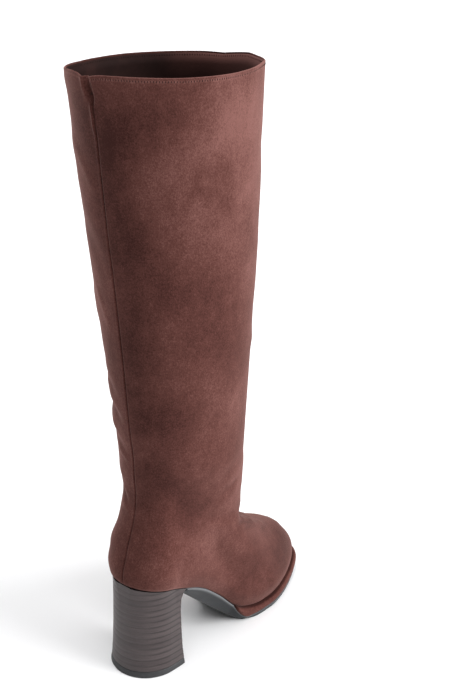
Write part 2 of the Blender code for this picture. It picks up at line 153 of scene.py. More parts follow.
@dataclass(frozen=True)
class Last:
    """The boot's driving sizes and the forms that follow from them, close to those of its solids."""

    foot_length: float = 226 * MM
    seat_width: float = 56.4 * MM
    ball_width: float = 69.2 * MM
    boot_height: float = 492 * MM
    seat_height: float = 85 * MM
    sole_height: float = 9.7 * MM
    toe_spring: float = 7 * MM
    collar_depth: float = 147.5 * MM
    collar_width: float = 132 * MM
    wall: float = 1.8 * MM
    gap: float = 0.3 * MM
    outsole_thickness: float = 3.2 * MM
    origin_along: float = 25.5 * MM
    contact_rear: float = 0.535
    contact_front: float = 0.70
    wrap_top: float = 0.478
    wrap_foot: float = 0.548
    waist_slope: float = 0.935
    waist_radius: float = 0.027
    spring_power: float = 1.8
    top_spring: float = 0.95
    heel_curve: float = 0.12
    waist_place: float = 0.40
    ball_place: float = 0.70
    toe_curve: float = 0.34
    toe_fullness: float = 2.15
    waist_fit: float = 0.61
    inner_fullness: float = 1.06
    fullness_start: float = 0.45
    bow_start: float = 0.15
    bow_length: float = 0.50
    waist_bow: float = 0.156
    swing_start: float = 0.60
    toe_swing: float = -0.214
    edge_fade: float = 0.25
    sag_fade: float = 1.5
    # Height of the upper's lower edge above the sole, tenth by tenth from heel to toe, share of the pitch
    pitch: tuple[float, ...] = (1.0, 0.927, 0.821, 0.664, 0.409, 0.107, 0.006, 0.0, 0.0, 0.0, 0.0)
    # back, back_rise, front, front_rise, seat, ball, roundness
    foot_sections: tuple[tuple[float, ...], ...] = (
        (0.000, 0.000, 1.000, 0.000, 0.500, 0.500, 0.00),
        (0.004, 0.030, 0.987, 0.031, 0.575, 0.598, 0.00),
        (0.020, 0.060, 0.950, 0.0545, 0.594, 0.608, 0.02),
        (0.034, 0.088, 0.897, 0.0775, 0.592, 0.593, 0.10),
        (0.053, 0.117, 0.800, 0.1045, 0.560, 0.587, 0.28),
        (0.070, 0.154, 0.686, 0.145, 0.539, 0.578, 0.46),
        (0.074, 0.188, 0.600, 0.186, 0.515, 0.560, 0.70),
        (0.068, 0.228, 0.575, 0.2535, 0.570, 0.603, 0.86),
    )
    # centre, depth, back_rise, front_rise, width, lean
    shaft_sections: tuple[tuple[float, ...], ...] = (
        (0.311, 0.767, 0.273, 0.327, 0.694, 0.006),
        (0.302, 0.799, 0.344, 0.4135, 0.724, 0.011),
        (0.285, 0.822, 0.477, 0.546, 0.822, 0.012),
        (0.268, 0.879, 0.651, 0.700, 0.903, 0.008),
        (0.241, 0.934, 0.848, 0.869, 0.970, 0.014),
        (0.212, 1.000, 1.003, 0.996, 1.000, 0.036),
    )

    def placed(self, lateral: float, along: float, height: float) -> Vector:
        """Returns the place in the boot's frame."""
        return Vector((-lateral, self.origin_along - along, height))

    def spring(self, share: float) -> float:
        """Returns the share of the toe spring at a share of the foot length."""
        ahead = (share - self.contact_front) / (1 - self.contact_front)
        return max(ahead, 0.0) ** self.spring_power

    def edge_height(self, along: float) -> float:
        """Height of the upper's lower edge.

        Args:
            along: The place along the foot.

        Returns:
            The height above the floor.
        """
        share = along / self.foot_length
        last = len(self.pitch) - 1
        place = min(max(share, 0.0), 1.0) * last
        step = min(int(place), last - 1)
        before = self.pitch[step - 1] if step > 0 else 2 * self.pitch[0] - self.pitch[1]
        after = self.pitch[min(step + 2, last)]
        shape = through(before, self.pitch[step], self.pitch[step + 1], after, place - step)
        rise = (self.seat_height - self.sole_height) * shape
        return self.sole_height + rise + self.top_spring * self.toe_spring * self.spring(share)

    def outsole_foot(self, along: float) -> float:
        """Returns the height of the outsole's underside.

        Args:
            along: The place along the foot.

        Returns:
            The height above the floor.
        """
        share = along / self.foot_length
        behind = (self.contact_rear - share) * self.foot_length
        if behind <= 0:
            return self.toe_spring * self.spring(share)
        return self.waist_slope * behind * behind / (behind + self.waist_radius * self.foot_length)

    def outsole_top(self, along: float) -> float:
        """Height of the outsole's upper side: under the upper behind, under the platform in front.

        Args:
            along: The place along the foot.

        Returns:
            The height above the floor.
        """
        share = along / self.foot_length
        if share >= self.wrap_foot:
            return self.outsole_foot(along) + self.outsole_thickness
        if share <= self.wrap_top:
            return self.edge_height(along) - self.gap
        behind = self.edge_height(self.wrap_top * self.foot_length) - self.gap
        ahead = self.outsole_foot(self.wrap_foot * self.foot_length) + self.outsole_thickness
        left = 1 - (share - self.wrap_top) / (self.wrap_foot - self.wrap_top)
        return mixed(ahead, behind, left**1.8)

    def outline_half(self, share: float, seat_half: float, ball_half: float) -> float:
        """Half width of a foot's outline.

        Args:
            share: The share of the foot length.
            seat_half: Half the width at the heel seat.
            ball_half: Half the width at the ball.

        Returns:
            The half width at that share.
        """
        ahead = min(share / self.heel_curve, 1.0)
        heel_end = math.sqrt(max(1 - (1 - ahead) ** 2, 0.0))
        near_toe = min(max((share - 1 + self.toe_curve) / self.toe_curve, 0.0), 1.0)
        toe_end = (1 - near_toe**self.toe_fullness) ** (1 / self.toe_fullness)
        waist_half = self.waist_fit * ball_half
        body = mixed(seat_half, waist_half, smooth(self.heel_curve, self.waist_place, share))
        body += (ball_half - waist_half) * smooth(self.waist_place, self.ball_place, share)
        return body * heel_end * toe_end

    def fullness(self, share: float) -> float:
        """Returns how much fuller the inner side is at a share of the foot length."""
        return 1 + (self.inner_fullness - 1) * smooth(self.fullness_start, self.ball_place, share)

    def centre_shift(self, share: float, ball_half: float) -> float:
        """Returns the sideways place of the outline's centre line.

        Args:
            share: The share of the foot length.
            ball_half: Half the width at the ball.

        Returns:
            The shift towards the outer side.
        """
        bow = math.sin(min(max((share - self.bow_start) / self.bow_length, 0.0), 1.0) * math.pi)
        swing = self.toe_swing * smooth(self.swing_start, 1.0, share)
        return (self.waist_bow * bow + swing) * ball_half

    def edge_sides(self, along: float, proud: float) -> tuple[float, float]:
        """Outer and inner lateral places of the upper's lower edge, moved out.

        Args:
            along: The place along the foot.
            proud: How far the two sides are moved out.

        Returns:
            The outer and the inner place.
        """
        share = min(max(along / self.foot_length, 0.0), 1.0)
        half = self.outline_half(share, self.seat_width / 2, self.ball_width / 2)
        fade = math.sqrt(min(max(half / (self.edge_fade * self.ball_width), 0.0), 1.0))
        centre = self.centre_shift(share, self.ball_width / 2)
        outer = centre + half + proud * fade
        inner = centre - half * self.fullness(share) - proud * fade
        return outer, inner

    def rows(self) -> list[Section]:
        """Returns the upper's named sections, lower edge to collar, in metres.

        Returns:
            The sections, lowest first.
        """
        length = self.foot_length
        toe_edge = self.edge_height(length)
        seat_rise = self.boot_height - self.seat_height
        toe_rise = self.boot_height - toe_edge
        made = []
        for back, back_rise, front, front_rise, seat, ball, roundness in self.foot_sections:
            heights = (self.seat_height + back_rise * seat_rise, toe_edge + front_rise * toe_rise)
            halves = (seat * self.seat_width, ball * self.ball_width)
            made.append(Section(back * length, front * length, *heights, *halves, roundness, 0.0))
        for centre, depth, back_rise, front_rise, width, lean in self.shaft_sections:
            middle = centre * length
            half_depth = depth * self.collar_depth / 2
            half_width = width * self.collar_width / 2
            heights = (self.seat_height + back_rise * seat_rise, toe_edge + front_rise * toe_rise)
            ends = (middle - half_depth, middle + half_depth)
            made.append(Section(*ends, *heights, half_width, half_width, 1.0, lean * self.collar_width))
        return made

    def section_at(self, rows: list[Section], rise: float) -> Section:
        """A section on the smooth curves through the named ones.

        Args:
            rows: The named sections.
            rise: The place among them, in whole and part steps.

        Returns:
            The section there.
        """
        names = Section.__dataclass_fields__
        return Section(*(read_curve([getattr(row, name) for row in rows], rise) for name in names))

    def upper_point(self, section: Section, share: float, side: int) -> Vector:
        """A point of the upper's outside.

        Args:
            section: The section it lies on.
            share: The share of the section's length, from its back.
            side: 1 on the outer side, -1 on the inner and 0 at back and front.

        Returns:
            The point in the boot's frame.
        """
        roundness = min(max(section.roundness, 0.0), 1.0)
        foot_half = self.outline_half(share, section.seat_half, section.ball_half)
        if side < 0:
            foot_half *= self.fullness(share)
        round_half = section.ball_half * math.sqrt(max(1 - (2 * share - 1) ** 2, 0.0))
        half = mixed(foot_half, round_half, roundness)
        shift = (1 - roundness) * self.centre_shift(share, section.ball_half)
        along = mixed(section.back, section.front, share)
        straight = mixed(section.back_height, section.front_height, share)
        edge_line = mixed(self.edge_height(0), self.edge_height(self.foot_length), share)
        sag = self.edge_height(share * self.foot_length) - edge_line
        height = straight + (1 - roundness) ** self.sag_fade * sag
        return self.placed(side * half + shift + section.lean, along, height)


LAST = Last()


@dataclass
class Skin:
    """Points in rows and columns, closed round the columns, with named marks for the finish."""

    points: np.ndarray
    marks: dict[str, np.ndarray] = field(default_factory=dict)

    def normals(self) -> np.ndarray:
        """Returns a normal for each point, by the steps to its neighbours.

        Returns:
            The unit normals, in rows and columns.
        """
        around = np.roll(self.points, -1, axis=1) - np.roll(self.points, 1, axis=1)
        upwards = np.gradient(self.points, axis=0)
        crossed = np.cross(around, upwards)
        length = np.linalg.norm(crossed, axis=2, keepdims=True)
        return crossed / np.maximum(length, 1e-12)

    def mark(self, name: str, values: np.ndarray) -> None:
        """Adds values to a named mark, which the finish reads."""
        shape = self.points.shape[:2]
        self.marks[name] = self.marks.get(name, np.zeros(shape)) + values.reshape(shape)

    def mesh(self, name: str, outward: Outward, capped: bool = False) -> bpy.types.Mesh:
        """Makes the skin a mesh.

        Args:
            name: The mesh's name.
            outward: The direction that faces look to, from a point.
            capped: Whether its open ends are filled.

        Returns:
            The mesh, with a float attribute for each mark.
        """
        rows, columns = self.points.shape[:2]
        shape = bmesh.new()
        bmesh.ops.create_grid(shape, x_segments=columns, y_segments=rows - 1, size=1.0)
        layers = {mark: shape.verts.layers.float.new(mark) for mark in self.marks}
        for vert in shape.verts:
            column = round((vert.co.x + 1) / 2 * columns) % columns
            row = round((vert.co.y + 1) / 2 * (rows - 1))
            vert.co = self.points[row, column]
            for mark, layer in layers.items():
                vert[layer] = float(self.marks[mark][row, column])
        bmesh.ops.remove_doubles(shape, verts=shape.verts, dist=WELD)
        if capped:
            ends = [edge for edge in shape.edges if edge.is_boundary]
            filled = bmesh.ops.holes_fill(shape, edges=ends, sides=0)
            bmesh.ops.triangulate(shape, faces=filled["faces"])
        return finished_mesh(shape, name, outward)


def smooth_mesh(shape: bmesh.types.BMesh, name: str) -> bpy.types.Mesh:
    """Makes a shape a smooth-shaded mesh.

    Args:
        shape: The shape, which is freed.
        name: The mesh's name.

    Returns:
        The mesh.
    """
    mesh = bpy.data.meshes.new(name)
    shape.to_mesh(mesh)
    shape.free()
    mesh.shade_smooth()
    return mesh


def finished_mesh(shape: bmesh.types.BMesh, name: str, outward: Outward) -> bpy.types.Mesh:
    """Turns a shape's faces outwards and makes it a mesh.

    Args:
        shape: The shape, which is freed.
        name: The mesh's name.
        outward: The direction that faces look to, from a point.

    Returns:
        The smooth-shaded mesh.
    """
    bmesh.ops.recalc_face_normals(shape, faces=shape.faces)
    facing = 0.0
    for face in shape.faces:
        facing += face.normal.dot(outward(face.calc_center_median())) * face.calc_area()
    if facing < 0:
        bmesh.ops.reverse_faces(shape, faces=shape.faces)
    return smooth_mesh(shape, name)


@dataclass(frozen=True)
class Fold:
    """A soft crease laid on the skin: a trough with a lip, or a ridge where its depth is below 0."""

    path: tuple[tuple[float, float], ...]  # turn and height in millimetres
    width: float  # half width of the trough, in millimetres
    depth: float  # in millimetres
    lip: float = 0.0  # height of the lip on its upper side, in millimetres
    fade: float = 0.35  # share of its length over which each end runs out
    open_start: bool = False  # whether its first end keeps the full depth


def beside(
    points: np.ndarray, normals: np.ndarray, line: np.ndarray
) -> tuple[np.ndarray, np.ndarray, np.ndarray]:
    """Where points lie beside a line on the skin.

    Args:
        points: The points.
        normals: A normal for each point.
        line: The line's points.

    Returns:
        Each point's distance, the share of the line's length next to it, and its sideways place.
    """
    nearest = np.full(len(points), np.inf)
    place = np.zeros(len(points))
    across = np.zeros(len(points))
    lengths = np.linalg.norm(np.diff(line, axis=0), axis=1)
    starts = np.concatenate(([0.0], np.cumsum(lengths)))
    for number, (first, second) in enumerate(zip(line, line[1:])):
        run = second - first
        along = np.clip(((points - first) @ run) / max(run @ run, 1e-15), 0.0, 1.0)
        offset = points - (first + along[:, None] * run)
        distance = np.linalg.norm(offset, axis=1)
        closer = distance < nearest
        nearest[closer] = distance[closer]
        place[closer] = (starts[number] + along[closer] * lengths[number]) / starts[-1]
        sideways = np.cross(normals[closer], run)
        across[closer] = (offset[closer] * sideways).sum(axis=1) / np.linalg.norm(run)
    return nearest, place, across


@dataclass
class Upper:
    """The suede upper: shaft, vamp and counter in one skin, with its turned collar, lining and stitches."""

    last: Last
    side_columns: int = 108
    row_steps: tuple[int, ...] = (6, 6, 6, 6, 8, 9, 10, 12, 14, 19, 22, 23, 20)
    low_rows: tuple[float, ...] = (0.03, 0.065, 0.10, 0.135, 0.21, 0.26)
    high_rows: tuple[float, ...] = (0.008, 0.016, 0.024, 0.032, 0.040, 0.060)
    seam_offsets: tuple[float, ...] = (0.4, 0.9, 1.5, 2.2, 3.2)
    suede_thickness: float = 0.5 * MM
    lining_gap: float = 0.15 * MM
    rim_radius: float = 0.48 * MM
    turned_depth: float = 1.1 * MM
    stitch_drop: float = 2.6 * MM
    plain_collar: tuple[float, float] = (-0.45, 0.004)
    near_rim: tuple[float, float] = (-0.28, 0.90)
    # How far below the collar the lining's painted light reaches
    painted_light_depth: float = 26 * MM
    stitch_pitch: float = 1.9 * MM
    stitch_length: float = 1.8 * MM
    stitch_radius: float = 0.36 * MM
    seat_tuck: float = 1.8 * MM
    seat_reach: float = 3.6 * MM
    edge_tuck: float = 0.5 * MM
    welt_tuck: float = 1.9 * MM
    groove_shade: float = 2.6
    tuck_height: float = 2.2 * MM
    calf_height: float = 405 * MM
    calf_reach: float = 42 * MM
    calf_stand: float = 1.0 * MM
    # turn and rise of the rim above the solid's, in millimetres
    rim_wave: tuple[tuple[float, float], ...] = (
        (-1.00, 2.2), (-0.96, 1.15), (-0.88, 1.0), (-0.80, 0.2), (-0.70, -0.7), (-0.60, -1.45),
        (-0.50, -2.6), (-0.40, -3.3), (-0.30, -2.9), (-0.25, -2.9), (-0.20, -2.0), (-0.145, -1.0),
        (-0.10, -0.5), (-0.063, -1.0), (-0.036, -2.6), (-0.010, -2.5), (0.005, -1.7), (0.02, -1.0),
        (0.045, -0.3), (0.10, 0.1), (0.20, 0.3), (0.30, 0.4), (0.40, 1.0), (0.48, 1.7),
        (0.54, 2.6), (0.59, 3.4), (0.65, 4.8), (0.70, 4.7), (0.755, 3.6), (0.86, 3.5),
        (0.915, 4.1), (0.96, 3.2), (1.00, 2.2),
    )
    rim_reach: float = 45 * MM
    far_rim_shade: float = -0.6
    crease_shade: float = 2.2
    # The lip of a fold, in widths of its trough
    lip_place: float = 1.7
    lip_width: float = 1.1
    lip_reach: float = 4.5
    seam_pitch: float = 2.6 * MM
    seam_length: float = 1.8 * MM
    seam_radius: float = 0.22 * MM
    lining_free_rows: int = 8
    lining_top_row: int = 4
    folds: tuple[Fold, ...] = (
        # The two panels are drawn together at the back seam
        Fold(((0.0, 87), (0.0, 130), (0.0, 180), (0.0, 300), (0.0, 400), (0.0, 490)), 0.7, 0.8, 0.0, 0.01),
        # The inner panel stands up beside the seam, most at the collar
        Fold(
            ((-0.037, 492), (-0.031, 484), (-0.015, 478), (-0.007, 473), (-0.0055, 450)),
            1.5, -1.5, 0.0, 0.2, True,
        ),
        Fold(((-0.018, 492), (-0.014, 485), (-0.006, 479), (-0.003, 471)), 2.6, 2.6, 0.0, 0.4, True),
        Fold(((-0.0055, 470), (-0.0055, 360), (-0.0055, 240), (-0.0055, 110)), 0.9, -0.35, 0.0, 0.05),
        Fold(((-0.21, 447), (-0.10, 426), (-0.015, 405)), 4.5, -0.8, 0.0, 0.3),
        Fold(((-0.020, 400), (-0.020, 330), (-0.020, 260), (-0.020, 190)), 3.4, -0.35, 0.0, 0.3),
        # Soft swells and hollows of the slack shaft, seen along its two sides
        Fold(((-0.36, 486), (-0.25, 485), (-0.16, 486)), 6.0, -0.6),
        Fold(((-0.30, 446), (-0.22, 437), (-0.14, 434)), 9.0, -0.8),
        Fold(((-0.22, 412), (-0.22, 370)), 14.0, 0.45),
        Fold(((-0.23, 334), (-0.23, 298)), 13.0, -0.85),
        Fold(((-0.30, 276), (-0.15, 266)), 5.0, 0.5),
        Fold(((-0.32, 256), (-0.22, 251), (-0.12, 247)), 4.5, -0.9),
        Fold(((-0.30, 226), (-0.18, 218), (-0.10, 212)), 4.5, -1.2),
        Fold(((-0.26, 178), (-0.17, 174), (-0.08, 170)), 4.5, -0.6),
        Fold(((0.62, 437), (0.73, 434), (0.84, 432)), 11.0, 0.6),
        Fold(((0.73, 384), (0.73, 345), (0.73, 305)), 16.0, -0.6),
        Fold(((0.66, 284), (0.73, 281), (0.80, 279)), 7.0, -0.7),
        Fold(((0.75, 180), (0.75, 132)), 12.0, -0.9),
        # The counter is full round the heel
        Fold(((-0.46, 84), (-0.30, 89), (-0.14, 93), (0.04, 95)), 10.0, -0.9, 0.0, 0.3),
        Fold(((-0.40, 112), (-0.16, 111), (0.02, 111)), 6.0, -0.8, 0.0, 0.3),
        # Slack folds across the inner back of the shaft
        Fold(((-0.30, 236), (-0.14, 231), (-0.03, 224)), 4.6, 1.7, 0.5),
        Fold(((-0.26, 214), (-0.12, 204), (-0.02, 199)), 4.5, 0.8, 0.3),
        Fold(((-0.32, 259), (-0.16, 253), (-0.05, 240)), 6.0, 0.9, 0.3),
        Fold(((-0.18, 199), (-0.05, 191.7), (-0.01, 187)), 2.6, -0.8),
        Fold(((-0.20, 163), (-0.095, 155.5), (-0.05, 150)), 2.4, 0.8, 0.35),
        Fold(((-0.16, 150), (-0.055, 145.3), (-0.01, 137)), 2.2, -0.6),
        Fold(((-0.17, 345), (-0.10, 318), (-0.04, 296)), 3.2, -0.7),
        Fold(((-0.24, 392), (-0.12, 372), (-0.03, 345)), 9.0, 0.7, 0.3),
        # Soft ankle folds on the outer side, from the front towards the heel
        Fold(((0.68, 158), (0.58, 155), (0.46, 148)), 5.0, 0.7, 0.4),
        Fold(((0.72, 121), (0.62, 124), (0.52, 128), (0.40, 136)), 5.5, 0.8, 0.4),
        Fold(((0.70, 180), (0.58, 175), (0.46, 163)), 7.0, 0.5, 0.3),
        # The same on the inner side
        Fold(((-0.88, 156), (-0.70, 152), (-0.50, 150), (-0.34, 143)), 5.0, 1.1, 0.5),
        Fold(((-0.92, 134), (-0.72, 126), (-0.52, 129), (-0.38, 120)), 5.5, 1.0, 0.5),
        Fold(((-0.90, 180), (-0.72, 178), (-0.52, 170)), 7.0, 0.8, 0.4),
        # Break where the shaft meets the instep, over the front from one side to the other
        Fold(
            ((0.68, 107), (0.78, 103), (0.88, 96), (0.96, 90), (1.03, 88), (1.12, 93), (1.22, 102)),
            7.5, 2.4,
        ),
        Fold(
            ((0.66, 118), (0.73, 112), (0.80, 108), (0.88, 101), (0.96, 93), (1.04, 90)),
            5.5, 3.0, 0.0, 0.22,
        ),
        Fold(((0.84, 92), (0.92, 84), (0.98, 80), (1.02, 80), (1.08, 84), (1.14, 92)), 6.5, 4.0),
        Fold(((0.92, 78), (0.98, 74), (1.03, 72), (1.07, 72), (1.12, 79)), 8.0, 3.4, 0.0, 0.25),
        Fold(((0.90, 76), (0.98, 69), (1.04, 63), (1.09, 60), (1.14, 64)), 8.0, 2.6),
        Fold(((1.03, 51), (0.98, 49), (0.94, 45)), 7.0, -0.5, 0.0, 0.2),
        # Wrinkles over the instep
        Fold(((0.56, 111), (0.67, 107.4), (0.80, 90.2), (0.88, 79)), 1.7, 0.8, 0.4),
        Fold(((0.60, 102), (0.70, 97), (0.82, 79)), 1.8, 0.6, 0.35),
        Fold(((0.74, 82), (0.86, 70), (0.97, 64)), 2.4, 0.6, 0.3),
        Fold(((-0.62, 108), (-0.76, 98), (-0.90, 84)), 2.6, 0.8, 0.35),
        Fold(((-0.66, 92), (-0.80, 80), (-0.92, 70)), 2.6, 0.5, 0.3),
        # Soft hollows of the quarter and vamp
        Fold(((0.12, 150), (0.16, 125), (0.17, 104)), 9.0, 0.6, 0.0),
        Fold(((0.36, 110), (0.46, 90), (0.54, 66)), 11.0, 0.6, 0.0),
        Fold(((-0.34, 112), (-0.46, 90), (-0.56, 64)), 11.0, 0.6, 0.0),
        # Long slack of the shaft
        Fold(((0.20, 440), (0.34, 360), (0.42, 250)), 22.0, 0.7, 0.0),
        Fold(((-0.62, 460), (-0.56, 360), (-0.62, 260)), 24.0, 0.8, 0.0),
    )
    # Patches of painted light, above 0, and painted shade, below 0: turn, height and reach in millimetres,
    # strength
    patches: tuple[tuple[float, float, float, float], ...] = (
        (0.50, 455, 34, 0.95), (0.60, 405, 26, 0.50), (0.62, 470, 26, 0.25), (0.30, 392, 22, 0.35),
        (0.16, 440, 28, 0.15), (0.24, 462, 20, -0.35), (0.42, 432, 16, -0.30), (0.40, 330, 30, -0.15),
        (0.04, 455, 22, -0.95), (0.04, 420, 22, -0.70), (0.04, 380, 26, -0.65), (0.05, 340, 26, -0.70),
        (0.05, 285, 26, -0.60), (0.06, 235, 24, -0.40), (0.05, 190, 22, -0.35), (0.22, 300, 26, -0.20),
        (0.20, 235, 26, -0.25), (0.45, 240, 30, -0.15), (0.35, 150, 30, -0.45), (0.25, 180, 26, -0.25),
        (0.57, 345, 22, 0.30), (0.60, 235, 24, 0.35), (0.58, 160, 20, 0.35), (0.20, 112, 22, -0.10),
        (0.40, 98, 20, 0.25), (0.55, 130, 18, 0.35), (0.86, 45, 28, -0.95), (0.70, 45, 22, -0.80),
        (0.60, 62, 18, -0.35), (0.14, 420, 16, 0.20), (-0.08, 462, 22, -0.75), (-0.10, 400, 22, 0.15),
        (-0.10, 318, 26, 0.45), (-0.10, 120, 20, -0.15), (0.44, 345, 20, -0.25),
    )

    def rises(self) -> list[float]:
        """Returns the rows as places among the named sections, closer together at both edges.

        Returns:
            The rows' places, lowest first.
        """
        even = [gap + step / steps for gap, steps in enumerate(self.row_steps) for step in range(steps)]
        last = float(len(self.row_steps))
        return sorted({*even, *self.low_rows, *(last - place for place in self.high_rows), last})

    def turns(self) -> list[float]:
        """Returns the turns of the columns, from the back seam round the outer side and back.

        Returns:
            The turns, one for each column.
        """
        near = []
        for offset in self.seam_offsets:
            share = 2 * self.last.heel_curve * (offset * MM / self.last.seat_width) ** 2
            near.append(math.acos(1 - 2 * share) / math.pi)
        first = near[-1] + 1 / self.side_columns
        rest = [float(turn) for turn in np.linspace(first, 1.0, self.side_columns)]
        one_side = near + rest
        return [0.0] + one_side + [-turn for turn in reversed(one_side[:-1])]

    def base_skin(self) -> Skin:
        """Returns the upper's outside with no folds.

        Returns:
            The skin, lower edge to collar.
        """
        rows = self.last.rows()
        rises = self.rises()
        turns = self.turns()
        points = np.zeros((len(rises), len(turns), 3))
        for row, rise in enumerate(rises):
            section = self.last.section_at(rows, rise)
            for column, turn in enumerate(turns):
                share = (1 - math.cos(math.pi * abs(turn))) / 2
                side = 0 if turn in (0.0, 1.0) else int(math.copysign(1, turn))
                points[row, column] = self.last.upper_point(section, share, side)
        return Skin(points)

    def spot(self, skin: Skin, turn: float, height: float) -> np.ndarray:
        """A place on the skin.

        Args:
            skin: The skin without folds.
            turn: The place round it.
            height: The height in metres.

        Returns:
            The point.
        """
        turn = (turn + 1) % 2 - 1
        turns = np.array(self.turns())
        order = np.argsort(turns)
        ranked = turns[order]
        after = int(np.clip(np.searchsorted(ranked, turn), 1, len(ranked) - 1))
        low, high = ranked[after - 1], ranked[after]
        share = float(np.clip((turn - low) / (high - low), 0.0, 1.0))
        line = mixed(skin.points[:, order[after - 1]], skin.points[:, order[after]], share)
        return np.array([np.interp(height, line[:, 2], line[:, axis]) for axis in range(3)])

    def fold_path(self, skin: Skin, fold: Fold, steps: int = 8) -> np.ndarray:
        """Points of a fold's line on the skin, on a smooth curve through its places.

        Args:
            skin: The skin without folds.
            fold: The fold.
            steps: Steps between two of its places.

        Returns:
            The line's points.
        """
        last = len(fold.path) - 1
        places = np.linspace(0, last, last * steps + 1)
        turns = [read_curve([place[0] for place in fold.path], place) for place in places]
        heights = [read_curve([place[1] for place in fold.path], place) for place in places]
        return np.array([self.spot(skin, turn, height * MM) for turn, height in zip(turns, heights)])

    def folded(self, skin: Skin) -> Skin:
        """Lays the folds on the skin.

        Args:
            skin: The skin without folds.

        Returns:
            The skin with folds and the marks trough and ridge, which paint shade in the troughs and a
            highlight on the ridges and lips.
        """
        flat = skin.points.reshape(-1, 3)
        normals = self.outward_normals(skin).reshape(-1, 3)
        moved, trough, ridge = (np.zeros(len(flat)) for _ in range(3))
        for fold in self.folds:
            width = fold.width * MM
            nearest, place, across = beside(flat, normals, self.fold_path(skin, fold))
            left = 1 - place if fold.open_start else np.minimum(place, 1 - place)
            ends = np.clip(left / fold.fade, 0.0, 1.0)
            ends = ends * ends * (3 - 2 * ends)
            bed = np.exp(-((nearest / width) ** 2)) * ends
            lip = np.exp(-(((across - self.lip_place * width) / (self.lip_width * width)) ** 2)) * ends
            lip *= nearest < self.lip_reach * width
            moved += -fold.depth * MM * bed + fold.lip * MM * lip
            # Painted shade in each trough and painted highlight along each ridge and lip, stronger where
            # the fold is steeper
            mark = trough if fold.depth > 0 else ridge
            mark += bed * min(abs(fold.depth) / fold.width * self.crease_shade, 1.0)
            ridge += lip * fold.lip / max(fold.width, 1.0)
        made = Skin((flat + normals * moved[:, None]).reshape(skin.points.shape))
        made.mark("trough", np.clip(trough, 0, 1))
        made.mark("ridge", np.clip(ridge, 0, 1))
        return made

    def shaded(self, skin: Skin) -> None:
        """Marks the patches of painted light and painted shade.

        Args:
            skin: The skin that is marked.
        """
        shade = np.zeros(skin.points.shape[:2])
        for turn, height, reach, strength in self.patches:
            offset = np.linalg.norm(skin.points - self.spot(skin, turn, height * MM), axis=2)
            shade += strength * np.exp(-((offset / (reach * MM)) ** 2))
        # Painted light and painted shade: the patches lighten some places of the suede and darken others
        skin.mark("lighter", np.clip(shade, 0, 1))
        skin.mark("darker", np.clip(-shade, 0, 1))

    def tuck_edge(self, skin: Skin, normals: np.ndarray) -> None:
        """Draws the lowest few millimetres in towards the sole, most where the platform stands out.

        Args:
            skin: The outside, which is changed.
            normals: Its outward normals.
        """
        above = skin.points[:, :, 2] - skin.points[0, :, 2]
        welt = np.array([smooth(0.40, 0.55, abs(turn)) for turn in self.turns()])
        seat = np.array([1 - smooth(0.22, 0.32, abs(turn)) for turn in self.turns()])
        reach = self.tuck_height + (self.seat_reach - self.tuck_height) * seat
        share = np.clip(1 - above / reach, 0.0, 1.0) ** 2
        depth = self.edge_tuck + (self.welt_tuck - self.edge_tuck) * welt
        depth += (self.seat_tuck - self.edge_tuck) * seat
        # Painted shade in the groove between the upper's lower edge and the platform
        skin.mark("trough", share * welt * self.groove_shade)
        inwards = normals.copy()
        inwards[:, :, 2] = 0
        skin.points -= inwards * (share * depth)[:, :, None]

    def fill_out(self, skin: Skin, normals: np.ndarray) -> None:
        """Lets the calf of the shaft stand out softly.

        Args:
            skin: The outside, which is changed.
            normals: Its outward normals.
        """
        height = skin.points[:, :, 2]
        share = np.exp(-(((height - self.calf_height) / self.calf_reach) ** 2))
        skin.points += normals * (share * self.calf_stand)[:, :, None]

    def wave_rim(self, skin: Skin) -> None:
        """Raises and lowers the skin towards the collar, so that the rim runs as on the boot after long
        wear.

        Args:
            skin: The outside, which is changed.
        """
        waves = np.array(self.rim_wave)
        rise = np.interp(np.array(self.turns()), waves[:, 0], waves[:, 1]) * MM
        top = skin.points[-1, :, 2]
        share = np.clip((skin.points[:, :, 2] - (top - self.rim_reach)) / self.rim_reach, 0.0, 1.0)
        skin.points[:, :, 2] += share * share * (3 - 2 * share) * rise

    def roll_rim(self, skin: Skin) -> Skin:
        """Turns the suede over the rim to the inside.

        Args:
            skin: The outside, which ends at the collar.

        Returns:
            The skin with the turned edge added, and a mark called rim: a painted highlight on the turned
            edge and along the stitch row on the near side, and painted shade on the far side.
        """
        normals = self.outward_normals(skin)
        edge = skin.points[-1]
        out = normals[-1].copy()
        out[:, 2] = 0
        out /= np.linalg.norm(out, axis=1, keepdims=True)
        up = np.array([0.0, 0.0, 1.0])
        added = []
        for degrees in (30, 60, 90, 120, 150, 180):
            angle = math.radians(degrees)
            centre = edge - out * self.rim_radius
            added.append(centre + self.rim_radius * (out * math.cos(angle) + up * math.sin(angle)))
        for share in (0.33, 0.66, 1.0):
            added.append(edge - out * 2 * self.rim_radius - up * self.turned_depth * share)
        points = np.concatenate([skin.points, np.array(added)])
        points[-len(added) :, :, 2] -= self.rim_radius
        points[len(skin.points) - 1, :, 2] -= self.rim_radius
        made = Skin(points)
        for name, values in skin.marks.items():
            made.mark(name, np.concatenate([values, np.repeat(values[-1:], len(added), axis=0)]))
        # Painted highlight on the near side's turned edge and stitch row, painted shade on the far side
        rim = np.zeros(points.shape[:2])
        rim[len(skin.points) - 2 :] = 1.0
        rim[len(skin.points) - 2] = 0.4
        below = skin.points[-1:, :, 2] - skin.points[:, :, 2]
        rim[: len(skin.points)] += 0.8 * np.exp(-(((below - self.stitch_drop) / (0.9 * MM)) ** 2))
        low, high = self.near_rim
        near = np.array([1.0 if low < turn < high else self.far_rim_shade for turn in self.turns()])
        made.mark("rim", rim * near)
        return made

    def outward_normals(self, skin: Skin) -> np.ndarray:
        """Returns the skin's normals, turned away from its middle.

        Args:
            skin: The skin.

        Returns:
            The unit normals, in rows and columns.
        """
        normals = skin.normals()
        middle = skin.points.mean(axis=1, keepdims=True)
        if float((normals * (skin.points - middle)).sum()) < 0:
            normals = -normals
        return normals

